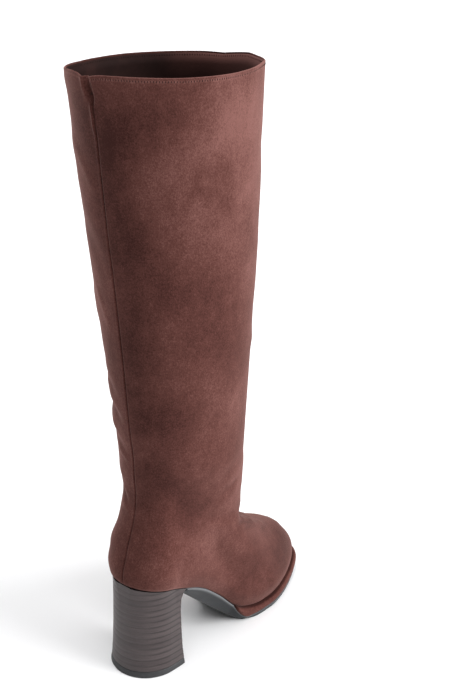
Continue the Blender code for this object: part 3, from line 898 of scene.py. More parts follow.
    def build(self) -> list[bpy.types.Object]:
        """Builds the suede, its lining and its stitches.

        Returns:
            The pieces.
        """
        skin = self.folded(self.base_skin())
        self.shaded(skin)
        normals = self.outward_normals(skin)
        self.tuck_edge(skin, normals)
        self.fill_out(skin, normals)
        self.wave_rim(skin)
        normals = self.outward_normals(skin)
        suede = self.build_suede(skin)
        lining = self.build_lining(skin, normals)
        stitches = self.build_stitches("collar_stitches", skin, normals)
        inner = self.build_stitches("collar_inner_stitches", skin, normals, inside=True)
        seam = self.build_seam_thread(skin, normals)
        return [suede, lining, stitches, inner, seam]

    def build_suede(self, skin: Skin) -> bpy.types.Object:
        """Returns the suede outside with its turned collar, as a thin closed shell.

        Args:
            skin: The outside.

        Returns:
            The piece.
        """
        mesh = self.roll_rim(skin).mesh("upper_suede", away_from_shaft)
        piece = dressed("upper_suede", mesh, SuedeFinish().material("boot_suede"), ["upper"])
        walled(piece, self.suede_thickness)
        return piece

    def build_lining(self, skin: Skin, normals: np.ndarray) -> bpy.types.Object:
        """Returns the lining inside the suede, from under the turned collar to the sole.

        Args:
            skin: The outside.
            normals: Its outward normals.

        Returns:
            The piece.
        """
        inset = self.suede_thickness + self.lining_gap
        rows = len(skin.points)
        keep = [*range(0, rows - self.lining_free_rows, 2), rows - self.lining_top_row]
        points = (skin.points - normals * inset)[keep]
        points[-1, :, 2] = skin.points[-1, :, 2] - self.turned_depth - self.lining_gap
        inside = Skin(points)
        # Painted light on the lining's front wall near the collar, where the light falls in
        lighting_by_place = np.array([smooth(0.50, 0.85, turn) + smooth(0.70, 1.0, -turn) for turn in self.turns()])
        below = skin.points[-1, :, 2] - points[:, :, 2]
        near_rim = np.clip(1 - below / self.painted_light_depth, 0.0, 1.0)
        inside.mark("painted_light", np.clip(lighting_by_place, 0, 1) * near_rim)
        mesh = inside.mesh("upper_lining", away_from_shaft)
        piece = dressed("upper_lining", mesh, LiningFinish().material("boot_lining"), [])
        walled(piece, self.last.wall - inset)
        return piece

    def build_stitches(
        self, name: str, skin: Skin, normals: np.ndarray, inside: bool = False
    ) -> bpy.types.Object:
        """Builds a row of short upright stitches under the rim.

        Args:
            name: The piece's name.
            skin: The outside.
            normals: Its normals.
            inside: Whether the row lies on the lining instead.

        Returns:
            The row.
        """
        row = int(np.argmin(np.abs(skin.points[:, 0, 2] - (skin.points[-1, 0, 2] - self.stitch_drop))))
        loop = skin.points[row].copy()
        loop[:, 2] = skin.points[-1, :, 2] - self.stitch_drop
        facing = normals[row]
        if inside:
            loop -= facing * self.last.wall
            facing = -facing
        else:
            order = self.stitched_columns()
            loop, facing = loop[order], facing[order]
        places, outward = evenly_spaced(loop, facing, self.stitch_pitch, closed=inside)
        upright = Vector((0, 0, 1))
        mesh = stitched(name, places, outward, upright, self.stitch_length, self.stitch_radius)
        return dressed(name, mesh, ThreadFinish().material(f"boot_{name}"), [])

    def stitched_columns(self) -> list[int]:
        """Finds the columns that the outside row runs over, all but the plain stretch.

        Returns:
            The columns, in order from the stretch's end round to its start.
        """
        low, high = self.plain_collar
        shown = np.array([not low < turn < high for turn in self.turns()])
        plain = int(np.argmin(shown))
        start = plain + int(np.argmax(shown[plain:]))
        around = np.roll(np.arange(len(shown)), -start)
        return [int(column) for column in around if shown[column]]

    def build_seam_thread(self, skin: Skin, normals: np.ndarray) -> bpy.types.Object:
        """Returns the stitches that close the back seam, in its groove.

        Args:
            skin: The outside.
            normals: Its outward normals.

        Returns:
            The row.
        """
        line = skin.points[3:-2, 0]
        places, facing = evenly_spaced(line, normals[3:-2, 0], self.seam_pitch, closed=False)
        mesh = stitched("seam_stitches", places, facing, None, self.seam_length, self.seam_radius)
        return dressed("seam_stitches", mesh, ThreadFinish().material("boot_seam_thread"), [])


def away_from_shaft(place: Vector) -> Vector:
    """Returns the direction that leads out of the upper's middle line.

    Args:
        place: A point of the upper.

    Returns:
        The level direction.
    """
    lower = LAST.placed(0, LAST.foot_length * 0.45, 0)
    upper = LAST.placed(0, LAST.foot_length * 0.27, 0)
    middle = lower.lerp(upper, smooth(0.05, 0.16, place.z))
    out = Vector((place.x - middle.x, place.y - middle.y, 0.0))
    return out.normalized() if out.length > WELD else Vector((0, 0, 1))


def away_from(centre: Vector) -> Outward:
    """Returns a function that gives the direction away from a centre."""
    return lambda place: (place - centre).normalized()


def unturned(_: Vector) -> Vector:
    """Returns no direction, so that the faces stay as the recalculated normals turned them."""
    return Vector()


def evenly_spaced(
    line: np.ndarray, normals: np.ndarray, pitch: float, closed: bool
) -> tuple[list[tuple[Vector, Vector]], list[Vector]]:
    """Places at even steps along a line, with the line's direction and normal there.

    Args:
        line: The line's points.
        normals: A normal for each point.
        pitch: The step.
        closed: Whether the line's end joins its start.

    Returns:
        The places with the line's direction, and the normals.
    """
    if closed:
        line = np.vstack([line, line[:1]])
        normals = np.vstack([normals, normals[:1]])
    lengths = np.concatenate(([0.0], np.cumsum(np.linalg.norm(np.diff(line, axis=0), axis=1))))
    count = max(round(lengths[-1] / pitch), 1)
    stops = (np.arange(count) + 0.5) * lengths[-1] / count
    spots = np.stack([np.interp(stops, lengths, line[:, axis]) for axis in range(3)], axis=1)
    ahead = np.stack([np.interp(stops + pitch / 4, lengths, line[:, axis]) for axis in range(3)], axis=1)
    facing = np.stack([np.interp(stops, lengths, normals[:, axis]) for axis in range(3)], axis=1)
    places = [(Vector(spot), Vector(way - spot).normalized()) for spot, way in zip(spots, ahead)]
    return places, [Vector(normal).normalized() for normal in facing]


def stitched(
    name: str,
    places: list[tuple[Vector, Vector]],
    facing: list[Vector],
    upright: Vector | None,
    length: float,
    radius: float,
) -> bpy.types.Mesh:
    """Joins many small stitches in one mesh.

    Args:
        name: The mesh's name.
        places: Where each stitch lies, with the line's direction there.
        facing: The way each stitch looks out.
        upright: The direction of the stitches, or None for the line's own.
        length: A stitch's length.
        radius: Its radius.

    Returns:
        The mesh.
    """
    shape = bmesh.new()
    for (spot, ahead), normal in zip(places, facing):
        run = upright if upright is not None else ahead
        side = normal.cross(run).normalized()
        run = side.cross(normal).normalized()
        turn = Matrix((side, run, normal)).transposed().to_4x4()
        sized = Matrix.Diagonal((radius, length / 2, radius, 1.0))
        bmesh.ops.create_uvsphere(
            shape,
            u_segments=6,
            v_segments=5,
            radius=1.0,
            matrix=Matrix.Translation(spot - normal * radius * STITCH_SUNK) @ turn @ sized,
        )
    bmesh.ops.recalc_face_normals(shape, faces=shape.faces)
    return smooth_mesh(shape, name)


def walled(piece: bpy.types.Object, thickness: float) -> None:
    """Gives a skin its thickness, inwards.

    Args:
        piece: The piece.
        thickness: Its wall.
    """
    wall = piece.modifiers.new("wall", "SOLIDIFY")
    wall.thickness = thickness
    wall.offset = -1.0
    wall.use_even_offset = False
    wall.use_rim = True


def dressed(
    name: str, mesh: bpy.types.Mesh, material: bpy.types.Material, nodes: list[str]
) -> bpy.types.Object:
    """Makes a mesh a piece of the boot.

    Args:
        name: The piece's name.
        mesh: Its mesh, in place.
        material: Its finish.
        nodes: The solids that it stands for.

    Returns:
        The piece.
    """
    mesh.materials.clear()
    mesh.materials.append(material)
    piece = bpy.data.objects.new(name, mesh)
    bpy.context.scene.collection.objects.link(piece)
    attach(piece, BODY)
    if nodes:
        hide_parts(*nodes)
    return piece


@dataclass
class Insole:
    """The insole, dished a little along its middle."""

    last: Last
    thickness: float = 3 * MM
    slant: float = 1.35
    stations: int = 60
    steps: int = 12
    dish: float = 0.8 * MM

    def build(self) -> bpy.types.Object:
        """Returns the insole inside the upper's lower edge.

        Returns:
            The piece.
        """
        inset = self.last.wall * self.slant + self.last.gap
        rings = []
        for station in range(self.stations + 1):
            share = (1 - math.cos(math.pi * station / self.stations)) / 2
            along = mixed(inset, self.last.foot_length - inset, share)
            outer, inner = self.last.edge_sides(share * self.last.foot_length, -inset)
            middle = (outer + inner) / 2
            outer, inner = max(outer, middle), min(inner, middle)
            foot = self.last.edge_height(along)
            ring = [self.last.placed(inner, along, foot), self.last.placed(outer, along, foot)]
            for step in range(self.steps + 1):
                across = step / self.steps
                fall = self.dish * (1 - (2 * across - 1) ** 2)
                lateral = mixed(outer, inner, across)
                ring.append(self.last.placed(lateral, along, foot + self.thickness - fall))
            rings.append(ring)
        mesh = Skin(np.array(rings)).mesh("insole_pad", unturned)
        return dressed("insole_pad", mesh, InsoleFinish().material("boot_insole"), ["insole"])


@dataclass
class Sole:
    """The wrapped platform and the grey outsole under it."""

    last: Last
    platform_proud: float = 4.2 * MM
    groove_shade: float = 1.3
    waist_proud: float = 0.6 * MM
    waist_inset: float = 6.5 * MM
    forepart_proud: float = 3.9 * MM
    forepart_inset: float = 0.6 * MM
    breast_along: float = 46.1 * MM
    tip_start: float = 0.85
    wrap_tip: float = 0.010
    under_end: float = 0.595
    stations: int = 96
    # Side of the platform, foot to top: share of its height, share of how far it stands out
    platform_side: tuple[tuple[float, float], ...] = (
        (0.00, 0.70), (0.06, 0.84), (0.16, 0.94), (0.30, 1.00), (0.46, 0.98),
        (0.62, 0.93), (0.76, 0.83), (0.88, 0.68), (0.95, 0.55), (1.00, 0.40),
    )
    # Side of the outsole, foot to top: share of its height, share of the inset
    outsole_side: tuple[tuple[float, float], ...] = (
        (0.00, 1.08), (0.03, 1.00), (0.14, 0.82), (0.30, 0.62), (0.46, 0.43), (0.62, 0.27),
        (0.76, 0.14), (0.86, 0.06), (0.90, 0.00), (0.97, 0.00), (1.00, 0.04),
    )

    def shares(self, start: float, extra: Sequence[float]) -> list[float]:
        """Returns the shares of the foot length from start to toe, with extra ones where the form turns."""
        steps = [(1 - math.cos(math.pi * step / self.stations)) / 2 for step in range(self.stations + 1)]
        return sorted({start, *extra, *(share for share in steps if share > start)})

    def ring(self, levels: list[tuple[float, float, float, float]]) -> list[Vector]:
        """Lays a ring across a piece: its outer side from foot to top, then its inner side back.

        Args:
            levels: Outer and inner place, place along the foot and height, foot first.

        Returns:
            The ring's points.
        """
        outer = [self.last.placed(place[0], place[2], place[3]) for place in levels]
        inner = [self.last.placed(place[1], place[2], place[3]) for place in levels]
        return outer + inner[::-1]

    def build_platform(self) -> bpy.types.Object:
        """Returns the suede-wrapped platform.

        Returns:
            The piece.
        """
        rings = []
        length = self.last.foot_length
        for share in self.shares(self.last.wrap_top + self.wrap_tip, [self.last.wrap_foot]):
            base = share * length
            tip = smooth(self.tip_start, 1.0, share)
            levels = []
            for level, proud in self.platform_side:
                stand = self.platform_proud * proud
                along = base + stand * tip
                foot = self.last.outsole_top(along) + self.last.gap
                top = self.last.edge_height(along) - self.last.gap
                levels.append((*self.last.edge_sides(base, stand), along, mixed(foot, top, level)))
            rings.append(self.ring(levels))
        centre = self.last.placed(0, length * 0.75, self.last.sole_height / 2)
        skin = Skin(np.array(rings))
        # Painted shade along the platform's top, in the groove under the upper's edge
        shade = [self.groove_shade * smooth(0.86, 1.0, level) for level, _ in self.platform_side]
        skin.mark("trough", np.tile(np.array(shade + shade[::-1]), (len(rings), 1)))
        mesh = skin.mesh("platform_wrap", away_from(centre), capped=True)
        finish = SuedeFinish(clouds=0.6, wrapped=True).material("boot_platform_suede")
        return dressed("platform_wrap", mesh, finish, ["platform"])

    def build_outsole(self) -> bpy.types.Object:
        """Returns the grey outsole, deep and drawn in behind the ball and thin in front of it.

        Returns:
            The piece.
        """
        rings = []
        length = self.last.foot_length
        start = (self.breast_along + 0.6 * MM) / length
        turns = [self.last.wrap_top, self.last.wrap_foot, self.last.contact_rear, self.last.contact_front]
        for share in self.shares(start, turns):
            base = share * length
            tip = smooth(self.tip_start, 1.0, share)
            under = smooth(self.last.wrap_top - 0.01, self.under_end, share)
            proud = mixed(self.waist_proud, self.forepart_proud, under)
            inset = mixed(self.waist_inset, self.forepart_inset, under)
            levels = []
            for level, drawn in self.outsole_side:
                stand = proud - inset * drawn
                along = base + stand * tip
                height = mixed(self.last.outsole_foot(along), self.last.outsole_top(along), level)
                levels.append((*self.last.edge_sides(base, stand), along, height))
            rings.append(self.ring(levels))
        centre = self.last.placed(0, length * 0.6, self.last.sole_height / 2)
        skin = Skin(np.array(rings))
        # Painted highlight along the outsole's top edge
        top_edge_highlight = [smooth(0.80, 0.92, level) for level, _ in self.outsole_side]
        skin.mark("edge", np.tile(np.array(top_edge_highlight + top_edge_highlight[::-1]), (len(rings), 1)))
        mesh = skin.mesh("outsole_body", away_from(centre), capped=True)
        mesh.set_sharp_from_angle(angle=math.radians(50))
        return dressed("outsole_body", mesh, SoleFinish().material("boot_outsole"), ["outsole"])


@dataclass
class Heel:
    """The stacked block heel and its top lift."""

    last: Last
    length: float = 44.3 * MM
    width: float = 58.6 * MM
    round_depth: float = 28 * MM
    lift_thickness: float = 5.5 * MM
    seat_blend: int = 3
    layers: int = 15
    splay: float = 1.9 * MM
    seat_tuck: float = 0.9 * MM
    groove: float = 0.12 * MM
    stations: int = 44
    breast_steps: int = 10
    # Share of a layer's height, share of the groove's depth
    groove_form: tuple[tuple[float, float], ...] = (
        (0.0, 1.0), (0.06, 0.45), (0.14, 0.0), (0.5, 0.0), (0.86, 0.0), (0.94, 0.45),
    )
    # Height and inset of the top lift, in millimetres
    lift_form: tuple[tuple[float, float], ...] = (
        (0.0, 0.7), (0.25, 0.3), (0.8, 0.05), (2.7, 0.0), (5.0, 0.0), (5.35, 0.1), (5.5, 0.3),
    )
    # level, back, breast, width
    levels: tuple[tuple[float, ...], ...] = (
        (0.00, -0.056, 0.936, 1.000),
        (0.05, -0.032, 0.926, 0.988),
        (0.25, -0.012, 0.898, 0.956),
        (0.50, 0.003, 0.878, 0.942),
        (0.74, 0.013, 0.872, 0.941),
        (0.87, 0.022, 0.892, 0.944),
        (0.94, 0.030, 0.952, 0.948),
        (1.00, 0.034, 1.040, 0.952),
    )

    def row(self, level: float) -> tuple[float, float, float]:
        """Returns back, breast and width at a share of the whole height."""
        table = np.array(self.levels)
        return tuple(float(np.interp(level, table[:, 0], table[:, column])) for column in (1, 2, 3))

    def top(self, along: float) -> float:
        """Returns the height of the seat that the heel is cut to."""
        return self.last.edge_height(along) - self.last.gap

    def loop(self, height: float, foot: float, floor_level: float, inset: float) -> list[Vector]:
        """A level loop round the heel.

        Args:
            height: The loop's height, lowered where the seat lies under it.
            foot: The height of the block's foot.
            floor_level: The share of the heel's whole height at its foot.
            inset: How far the loop is drawn in.

        Returns:
            The loop: outer side from back to breast, across the breast, inner side back again.
        """
        outer_side, inner_side = [], []
        for station in range(self.stations + 1):
            place = 1 - math.cos(math.pi / 2 * station / self.stations)
            along, level, z = 0.0, 0.5, height
            for _ in range(4):
                top = self.top(along)
                z = min(height, top)
                level = mixed(floor_level, 1.0, (z - foot) / (top - foot))
                back, breast, width = self.row(level)
                along = mixed(back, breast, place) * self.length
            ahead = min((along - back * self.length) / self.round_depth, 1.0)
            half = width * self.width / 2 * math.sqrt(max(1 - (1 - ahead) ** 2, 0.0))
            tucked = self.seat_tuck * (1 - smooth(0.6, 1.0, place))
            outer, inner = self.last.edge_sides(along, -self.last.gap - tucked)
            if ahead <= 0:
                outer = inner = half = 0.0
            blend = level**self.seat_blend
            splayed = half + self.splay * smooth(0.25, 1.0, place) * min(half / WELD, 1.0)
            left, right = mixed(splayed, outer, blend), mixed(-half, inner, blend)
            narrow = max(0.0, 1 - inset / max(half, WELD)) if half > inset else 0.0
            middle = (left + right) / 2
            left, right = mixed(middle, left, narrow), mixed(middle, right, narrow)
            shifted = along + inset * (1 - 2 * place)
            outer_side.append(self.last.placed(left, shifted, z))
            inner_side.append(self.last.placed(right, shifted, z))
        corner, far = outer_side[-1], inner_side[-1]
        breast_line = [corner.lerp(far, step / self.breast_steps) for step in range(1, self.breast_steps)]
        return outer_side + breast_line + inner_side[:0:-1]

    def build_stack(self) -> bpy.types.Object:
        """Returns the heel block, with a fine groove between its layers.

        Returns:
            The piece.
        """
        foot = self.lift_thickness + self.last.gap
        seat = self.top(0.0)
        whole = self.top(self.row(1.0)[1] * self.length)
        thickness = (seat - foot) / self.layers
        loops = []
        for layer in range(self.layers):
            base = foot + layer * thickness
            for share, drawn in self.groove_form:
                inset = self.groove * drawn * (0.6 + 0.4 * math.sin(layer * 2.3) ** 2)
                loops.append(self.loop(base + share * thickness, foot, self.lift_thickness / whole, inset))
        loops.append(self.loop(seat, foot, self.lift_thickness / whole, 0.0))
        centre = Vector((0, 0, seat / 2))
        mesh = Skin(np.array(loops)).mesh("heel_stack", away_from(centre), capped=True)
        mesh.set_sharp_from_angle(angle=math.radians(50))
        finish = StackFinish(foot=foot, layer=thickness).material("boot_heel_stack")
        return dressed("heel_stack", mesh, finish, ["heel"])

    def build_lift(self) -> bpy.types.Object:
        """Returns the top lift, with a softened lower edge.

        Returns:
            The piece.
        """
        loops = [self.lift_loop(height * MM, inset * MM) for height, inset in self.lift_form]
        centre = Vector((0, 0, self.lift_thickness / 2))
        mesh = Skin(np.array(loops)).mesh("heel_lift", away_from(centre), capped=True)
        mesh.set_sharp_from_angle(angle=math.radians(50))
        return dressed("heel_lift", mesh, LiftFinish().material("boot_top_lift"), ["top_lift"])

    def lift_loop(self, height: float, inset: float) -> list[Vector]:
        """Returns a level loop of the top lift, which goes on with the block's sides.

        Args:
            height: The loop's height.
            inset: How far it is drawn in.

        Returns:
            The loop.
        """
        loop = self.loop(max(height, WELD), 0.0, 0.0, inset)
        for place in loop:
            place.z = height
        return loop


@dataclass
class Desk:
    """A material's node tree, with short ways to lay its nodes."""

    tree: bpy.types.NodeTree

    def node(self, kind: str, **settings: object) -> bpy.types.Node:
        """Adds a node of a kind, with its settings.

        Args:
            kind: The node's type.
            settings: Its properties.

        Returns:
            The node.
        """
        made = self.tree.nodes.new(kind)
        for name, value in settings.items():
            setattr(made, name, value)
        return made

    def join(self, source: object, target: Socket) -> None:
        """Links a socket to another, or sets a plain value on it.

        Args:
            source: The socket or value.
            target: The input that takes it.
        """
        if isinstance(source, Socket):
            self.tree.links.new(source, target)
        else:
            target.default_value = source

    def place(self, stretch: Triple = (1, 1, 1)) -> Socket:
        """Returns the object's own coordinates, stretched.

        Args:
            stretch: The stretch along each axis.

        Returns:
            The coordinates.
        """
        where = self.node("ShaderNodeTexCoord").outputs["Object"]
        if stretch == (1, 1, 1):
            return where
        mapping = self.node("ShaderNodeMapping")
        self.join(where, mapping.inputs["Vector"])
        mapping.inputs["Scale"].default_value = stretch
        return mapping.outputs["Vector"]

    def noise(
        self,
        per_metre: float,
        detail: float = 3,
        rough: float = 0.55,
        stretch: Triple = (1, 1, 1),
        twist: float = 0.0,
    ) -> Socket:
        """Adds a noise and returns its value.

        Args:
            per_metre: Its spots to the metre.
            detail: Its finer octaves.
            rough: How strong they are.
            stretch: A stretch of its coordinates.
            twist: Its distortion.

        Returns:
            The noise's value, about 0.5 in the middle.
        """
        made = self.node("ShaderNodeTexNoise")
        self.join(self.place(stretch), made.inputs["Vector"])
        made.inputs["Scale"].default_value = per_metre
        made.inputs["Detail"].default_value = detail
        made.inputs["Roughness"].default_value = rough
        made.inputs["Distortion"].default_value = twist
        return made.outputs["Fac"]

    def mark(self, name: str) -> Socket:
        """Returns the value of one of the mesh's marks."""
        return self.node("ShaderNodeAttribute", attribute_name=name).outputs["Fac"]

    def sum(self, operation: str, first: object, second: object) -> Socket:
        """Adds a maths node and returns its value.

        Args:
            operation: The node's operation.
            first: Its first value.
            second: Its second value.

        Returns:
            The result.
        """
        made = self.node("ShaderNodeMath", operation=operation)
        self.join(first, made.inputs[0])
        self.join(second, made.inputs[1])
        return made.outputs["Value"]

    def added(self, tone: object, pattern: object, share: float) -> Socket:
        """Adds a share of a pattern to a tone."""
        return self.sum("ADD", tone, self.sum("MULTIPLY", pattern, share))

    def spread(self, value: object, low: float, high: float, to_low: float, to_high: float) -> Socket:
        """Maps a range of a value softly onto another range.

        Args:
            value: The value.
            low: The range's low end.
            high: Its high end.
            to_low: What the low end becomes.
            to_high: What the high end becomes.

        Returns:
            The mapped value.
        """
        made = self.node("ShaderNodeMapRange", interpolation_type="SMOOTHSTEP")
        for name, item in (("Value", value), ("From Min", low), ("From Max", high)):
            self.join(item, made.inputs[name])
        self.join(to_low, made.inputs["To Min"])
        self.join(to_high, made.inputs["To Max"])
        return made.outputs["Result"]

    def blend(self, share: object, first: object, second: object) -> Socket:
        """Blends two colours and returns the result.

        Args:
            share: How much of the second shows.
            first: A colour.
            second: The other colour.

        Returns:
            The blended colour.
        """
        made = self.node("ShaderNodeMix", data_type="RGBA")
        self.join(share, made.inputs[0])
        self.join(solid(first), made.inputs[6])
        self.join(solid(second), made.inputs[7])
        return made.outputs[2]

    def bump(self, height: object, depth: float, strength: float, under: object = None) -> Socket:
        """Adds a bump and returns its normal.

        Args:
            height: The height, from 0 to 1.
            depth: What a height of 1 is, in metres.
            strength: How much of it is felt.
            under: The normal that it is laid on.

        Returns:
            The normal.
        """
        made = self.node("ShaderNodeBump")
        self.join(height, made.inputs["Height"])
        made.inputs["Distance"].default_value = depth
        made.inputs["Strength"].default_value = strength
        if under is not None:
            self.join(under, made.inputs["Normal"])
        return made.outputs["Normal"]


def solid(colour: object) -> object:
    """Returns a plain colour with its alpha, or the socket as it is."""
    return (*colour, 1.0) if isinstance(colour, tuple) and len(colour) == 3 else colour


@dataclass(frozen=True)
class Finish:
    """A finish of the boot: a Principled shader, whose pattern each kind lays in its own way."""

    roughness: float = 0.6
    specular: float = 0.5
    sheen: float = 0.0
    sheen_roughness: float = 0.5
    sheen_tint: Triple = (1.0, 1.0, 1.0)
    coat: float = 0.0
    coat_roughness: float = 0.3

    def material(self, name: str) -> bpy.types.Material:
        """Makes the material.

        Args:
            name: Its name.

        Returns:
            The material.
        """
        made = bpy.data.materials.new(name)
        made.use_nodes = True
        desk = Desk(made.node_tree)
        shader = made.node_tree.nodes["Principled BSDF"]
        shader.inputs["Roughness"].default_value = self.roughness
        shader.inputs["Specular IOR Level"].default_value = self.specular
        shader.inputs["Sheen Weight"].default_value = self.sheen
        shader.inputs["Sheen Roughness"].default_value = self.sheen_roughness
        shader.inputs["Sheen Tint"].default_value = (*self.sheen_tint, 1.0)
        shader.inputs["Coat Weight"].default_value = self.coat
        shader.inputs["Coat Roughness"].default_value = self.coat_roughness
        self.lay(desk, shader)
        return made

    def lay(self, desk: Desk, shader: bpy.types.Node) -> None:
        """Lays the pattern; the plain finish has none."""


@dataclass(frozen=True)
class SuedeFinish(Finish):
    """Brushed suede: a fine nap, clouds where it was stroked, painted shade in troughs, painted highlights
    on ridges, and patches and a rim of painted light and shade.
    """

    roughness: float = 0.95
    specular: float = 0.12
    sheen: float = 0.26
    sheen_roughness: float = 0.38
    sheen_tint: Triple = (1.0, 0.58, 0.52)
    dark: Triple = (0.034, 0.0100, 0.0078)
    base: Triple = (0.086, 0.0305, 0.0248)
    light: Triple = (0.170, 0.0740, 0.0640)
    clouds: float = 1.0
    wrapped: bool = False

    def lay(self, desk: Desk, shader: bpy.types.Node) -> None:
        """Lays clouds, mottling and nap in the colour, and the nap and pores in the bump.

        Args:
            desk: The material's desk.
            shader: The shader that the pattern feeds.
        """
        cloud = desk.noise(22, 3, 0.5, (1, 1, 0.75), 0.3)
        mottling = desk.noise(120, 4, 0.62, (1, 1, 0.9))
        speckle = desk.noise(640, 3, 0.7)
        nap = desk.noise(1900, 2, 0.6, (1, 1, 0.55))
        tone = desk.sum("MULTIPLY", desk.sum("SUBTRACT", cloud, 0.5), 0.9 * self.clouds)
        for pattern, share in ((mottling, 0.50), (speckle, 0.85), (nap, 0.95)):
            tone = desk.added(tone, desk.sum("SUBTRACT", pattern, 0.5), share)
        # Painted light and shade: shade in troughs and grooves, highlights on ridges, lips and the near
        # rim, shade on the far rim, and the lighter and darker patches
        marks = {"trough": -0.32}
        if not self.wrapped:
            marks = {"lighter": 0.45, "darker": -0.45, "ridge": 0.14, "rim": 0.35, "trough": -0.32}
        for name, share in marks.items():
            tone = desk.added(tone, desk.mark(name), share)
        ramp = desk.node("ShaderNodeMapRange")
        desk.join(tone, ramp.inputs["Value"])
        ramp.inputs["From Min"].default_value = -0.5
        ramp.inputs["From Max"].default_value = 0.5
        ends = desk.node("ShaderNodeValToRGB")
        desk.join(ramp.outputs["Result"], ends.inputs["Fac"])
        stops = ends.color_ramp.elements
        stops[0].color = solid(self.dark)
        stops[1].color = solid(self.light)
        stops.new(0.5).color = solid(self.base)
        desk.join(ends.outputs["Color"], shader.inputs["Base Color"])
        grain = desk.bump(mottling, 0.35 * MM, 0.2)
        grain = desk.bump(speckle, 0.28 * MM, 0.5, grain)
        desk.join(desk.bump(nap, 0.14 * MM, 0.6, grain), shader.inputs["Normal"])


@dataclass(frozen=True)
class LiningFinish(Finish):
    """Dark lining leather with fine pores."""

    roughness: float = 0.8
    specular: float = 0.12
    base: Triple = (0.014, 0.0052, 0.0044)
    light: Triple = (0.026, 0.0100, 0.0085)
    # Colour of the painted light on the lining's front wall
    painted_light: Triple = (0.185, 0.0800, 0.0700)

    def lay(self, desk: Desk, shader: bpy.types.Node) -> None:
        """Lays soft tones, pores and a fine grain, with painted light on the front wall near the collar.

        Args:
            desk: The material's desk.
            shader: The shader that the pattern feeds.
        """
        tone = desk.noise(40, 4, 0.6)
        pores = desk.noise(1300, 2, 0.5)
        colour = desk.blend(desk.spread(tone, 0.35, 0.7, 0, 1), self.base, self.light)
        desk.join(desk.blend(desk.mark("painted_light"), colour, self.painted_light), shader.inputs["Base Color"])
        grain = desk.bump(desk.noise(420, 3, 0.6), 0.2 * MM, 0.35)
        desk.join(desk.bump(pores, 0.1 * MM, 0.5, grain), shader.inputs["Normal"])


@dataclass(frozen=True)
class InsoleFinish(LiningFinish):
    """The insole's cover, a little lighter than the lining."""

    base: Triple = (0.050, 0.027, 0.024)
    light: Triple = (0.080, 0.046, 0.040)


@dataclass(frozen=True)
class ThreadFinish(Finish):
    """Dark waxed thread with a fine twist."""

    roughness: float = 0.8
    specular: float = 0.1
    base: Triple = (0.010, 0.0045, 0.0040)
    light: Triple = (0.026, 0.0120, 0.0105)

    def lay(self, desk: Desk, shader: bpy.types.Node) -> None:
        """Lays the twist's tones.

        Args:
            desk: The material's desk.
            shader: The shader that the pattern feeds.
        """
        twist = desk.noise(2600, 2, 0.5)
        desk.join(desk.blend(twist, self.base, self.light), shader.inputs["Base Color"])
        desk.join(desk.bump(twist, 0.05 * MM, 0.5), shader.inputs["Normal"])


@dataclass(frozen=True)
class SoleFinish(Finish):
    """Satin blue-grey sole with fine specks, and a painted highlight along its top edge."""

    roughness: float = 0.45
    specular: float = 0.20
    base: Triple = (0.015, 0.0160, 0.018)
    light: Triple = (0.032, 0.0345, 0.038)
    dark: Triple = (0.010, 0.011, 0.012)
    # Colour of the painted highlight along the top edge
    edge: Triple = (0.125, 0.130, 0.135)

    def lay(self, desk: Desk, shader: bpy.types.Node) -> None:
        """Lays paler polished patches, specks, scuffs under the tread, a painted highlight along the top
        edge and a fine moulded grain.

        Args:
            desk: The material's desk.
            shader: The shader that the pattern feeds.
        """
        patches = desk.noise(55, 4, 0.6, (1, 1, 2))
        specks = desk.noise(1500, 2, 0.6)
        colour = desk.blend(desk.spread(patches, 0.4, 0.75, 0, 0.7), self.base, self.light)
        colour = desk.blend(desk.spread(specks, 0.60, 0.72, 0, 0.5), colour, self.dark)
        # Painted highlight along the top edge
        colour = desk.blend(desk.mark("edge"), colour, self.edge)
        desk.join(colour, shader.inputs["Base Color"])
        desk.join(desk.spread(patches, 0.3, 0.8, 0.36, 0.52), shader.inputs["Roughness"])
        desk.join(desk.bump(specks, 0.06 * MM, 0.35), shader.inputs["Normal"])


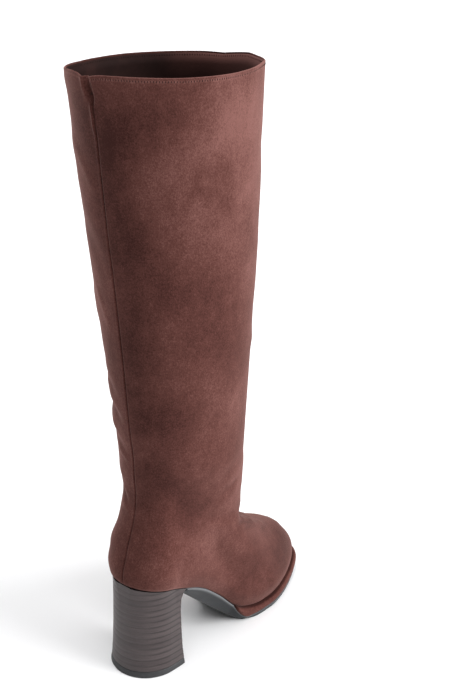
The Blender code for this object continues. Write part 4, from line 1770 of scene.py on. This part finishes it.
@dataclass(frozen=True)
class StackFinish(Finish):
    """Stacked layers, each with its own tone, with dark joints and a fine level grain."""

    roughness: float = 0.45
    specular: float = 0.28
    coat: float = 0.05
    coat_roughness: float = 0.35
    base: Triple = (0.046, 0.0350, 0.0355)
    light: Triple = (0.082, 0.0635, 0.0630)
    dark: Triple = (0.009, 0.007, 0.007)
    foot: float = 5.8 * MM
    layer: float = 4.4 * MM

    def lay(self, desk: Desk, shader: bpy.types.Node) -> None:
        """Lays each layer's tone, its grain and the fine joints between the layers, which fade towards the
        back as painted sheen.

        Args:
            desk: The material's desk.
            shader: The shader that the pattern feeds.
        """
        split = desk.node("ShaderNodeSeparateXYZ")
        desk.join(desk.place(), split.inputs["Vector"])
        waver = desk.sum("MULTIPLY", desk.sum("SUBTRACT", desk.noise(30, 2), 0.5), 0.5 * MM)
        level = desk.sum("ADD", split.outputs["Z"], waver)
        height = desk.sum("DIVIDE", desk.sum("SUBTRACT", level, self.foot), self.layer)
        number = desk.sum("FLOOR", height, 0.0)
        inside = desk.sum("FRACT", height, 0.0)
        from_middle = desk.sum("ABSOLUTE", desk.sum("SUBTRACT", inside, 0.5), 0.0)
        tones = desk.node("ShaderNodeTexWhiteNoise", noise_dimensions="1D")
        desk.join(number, tones.inputs["W"])
        grain = desk.noise(55, 5, 0.65, (1, 1, 22))
        fibres = desk.noise(1000, 3, 0.6, (1, 1, 3))
        tone = desk.added(desk.sum("MULTIPLY", tones.outputs["Value"], 0.14), grain, 0.9)
        colour = desk.blend(desk.spread(tone, 0.35, 0.85, 0, 1), self.base, self.light)
        colour = desk.blend(desk.spread(fibres, 0.5, 0.75, 0, 0.4), colour, self.dark)
        joints = desk.spread(from_middle, 0.26, 0.49, 0.0, 0.66)
        # Painted sheen: the dark joints fade towards the heel's back, where the light washes them out
        lighting_by_place = desk.spread(split.outputs["Y"], 8 * MM, 23 * MM, 1.0, 0.2)
        broken = desk.sum("MULTIPLY", joints, lighting_by_place)
        desk.join(desk.blend(broken, colour, self.dark), shader.inputs["Base Color"])
        desk.join(desk.spread(grain, 0.3, 0.7, 0.36, 0.50), shader.inputs["Roughness"])
        desk.join(desk.bump(grain, 0.10 * MM, 0.3), shader.inputs["Normal"])


@dataclass(frozen=True)
class LiftFinish(Finish):
    """Dark rubber of the top lift, lightly scuffed along its edge."""

    roughness: float = 0.55
    specular: float = 0.4
    base: Triple = (0.026, 0.026, 0.028)
    light: Triple = (0.046, 0.046, 0.049)

    def lay(self, desk: Desk, shader: bpy.types.Node) -> None:
        """Lays scuffs and a fine moulded grain.

        Args:
            desk: The material's desk.
            shader: The shader that the pattern feeds.
        """
        scuffs = desk.noise(160, 5, 0.7, (1, 1, 4))
        colour = desk.blend(desk.spread(scuffs, 0.5, 0.8, 0, 1), self.base, self.light)
        desk.join(colour, shader.inputs["Base Color"])
        desk.join(desk.bump(desk.noise(1400, 2), 0.06 * MM, 0.4), shader.inputs["Normal"])


@dataclass
class Studio:
    """A pale floor, plain soft light and the camera at the photograph's place."""

    camera_place: Triple = (-0.54554, 0.56946, 0.61422)
    heading: float = 140.9984  # degrees from +Y towards +X
    dip: float = 22.5239
    roll: float = 1.2048
    focal_pixels: float = 1135.06
    frame_height: int = 688
    sensor: float = 36.0
    floor_size: float = 30.0
    sky: float = 0.14
    # name, direction that it comes from, strength, width in degrees
    suns: tuple[tuple[str, Triple, float, float], ...] = (
        ("key", (-0.868, -0.403, 0.342), 4.2, 45.0),
        ("top", (-0.060, 0.063, 0.996), 2.58, 60.0),
        ("back", (0.896, 0.032, 0.500), 0.8, 60.0),
    )

    def build(self) -> None:
        """Makes floor, lights and camera."""
        self.build_floor()
        self.build_light()
        self.build_camera()

    def build_floor(self) -> None:
        """Lays a wide floor with the faintest unevenness of tone."""
        shape = bmesh.new()
        bmesh.ops.create_grid(shape, x_segments=8, y_segments=8, size=self.floor_size / 2)
        mesh = bpy.data.meshes.new("floor")
        shape.to_mesh(mesh)
        shape.free()
        floor = bpy.data.objects.new("floor", mesh)
        bpy.context.scene.collection.objects.link(floor)
        mesh.materials.append(FloorFinish().material("studio_floor"))

    def build_light(self) -> None:
        """Sets a weak sky, a low wide key light, a wide light above and a weak one from the inner side."""
        world = bpy.data.worlds.new("studio")
        bpy.context.scene.world = world
        world.use_nodes = True
        background = world.node_tree.nodes["Background"]
        background.inputs["Color"].default_value = (1.0, 1.0, 1.0, 1.0)
        background.inputs["Strength"].default_value = self.sky
        for name, towards, strength, softness in self.suns:
            self.build_sun(name, towards, strength, softness)

    def build_sun(self, name: str, towards: Triple, strength: float, softness: float) -> None:
        """Adds one wide, even light.

        Args:
            name: Its name.
            towards: The direction that it comes from.
            strength: Its strength.
            softness: Its width in degrees.
        """
        light = bpy.data.lights.new(name, "SUN")
        light.energy = strength
        light.angle = math.radians(softness)
        lamp = bpy.data.objects.new(name, light)
        lamp.rotation_euler = Vector(towards).to_track_quat("Z", "Y").to_euler()
        bpy.context.scene.collection.objects.link(lamp)

    def build_camera(self) -> None:
        """Sets the camera, rolled as the photograph's was."""
        heading, dip, roll = (math.radians(angle) for angle in (self.heading, self.dip, self.roll))
        flat = math.cos(dip)
        ahead = Vector((math.sin(heading) * flat, math.cos(heading) * flat, -math.sin(dip)))
        level = ahead.cross(Vector((0, 0, 1))).normalized()
        upright = level.cross(ahead)
        right = level * math.cos(roll) + upright * math.sin(roll)
        up = upright * math.cos(roll) - level * math.sin(roll)
        data = bpy.data.cameras.new("camera")
        data.sensor_width = self.sensor
        data.lens = self.focal_pixels / self.frame_height * self.sensor
        data.clip_start = 0.01
        camera = bpy.data.objects.new("camera", data)
        turn = Matrix((right, up, -ahead)).transposed().to_4x4()
        camera.matrix_world = Matrix.Translation(Vector(self.camera_place)) @ turn
        bpy.context.scene.collection.objects.link(camera)
        bpy.context.scene.camera = camera


@dataclass(frozen=True)
class FloorFinish(Finish):
    """Pale matt paper."""

    roughness: float = 0.9
    specular: float = 0.1
    base: Triple = (0.90, 0.905, 0.915)
    light: Triple = (0.93, 0.932, 0.94)

    def lay(self, desk: Desk, shader: bpy.types.Node) -> None:
        """Lays a faint change of tone."""
        desk.join(desk.blend(desk.noise(2, 2), self.base, self.light), shader.inputs["Base Color"])


def main() -> None:
    """Builds the boot's pieces in order and reports each."""
    logging.basicConfig(level=logging.INFO, format="%(name)s: %(message)s")
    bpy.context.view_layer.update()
    bpy.context.scene.view_settings.view_transform = "Standard"
    Studio().build()
    heel = Heel(LAST)
    sole = Sole(LAST)
    made = Upper(LAST).build()
    made += [Insole(LAST).build(), sole.build_platform(), sole.build_outsole()]
    made += [heel.build_stack(), heel.build_lift()]
    for piece in made:
        LOG.info("%s: %d faces", piece.name, len(piece.data.polygons))


if __name__ == "__main__":
    main()
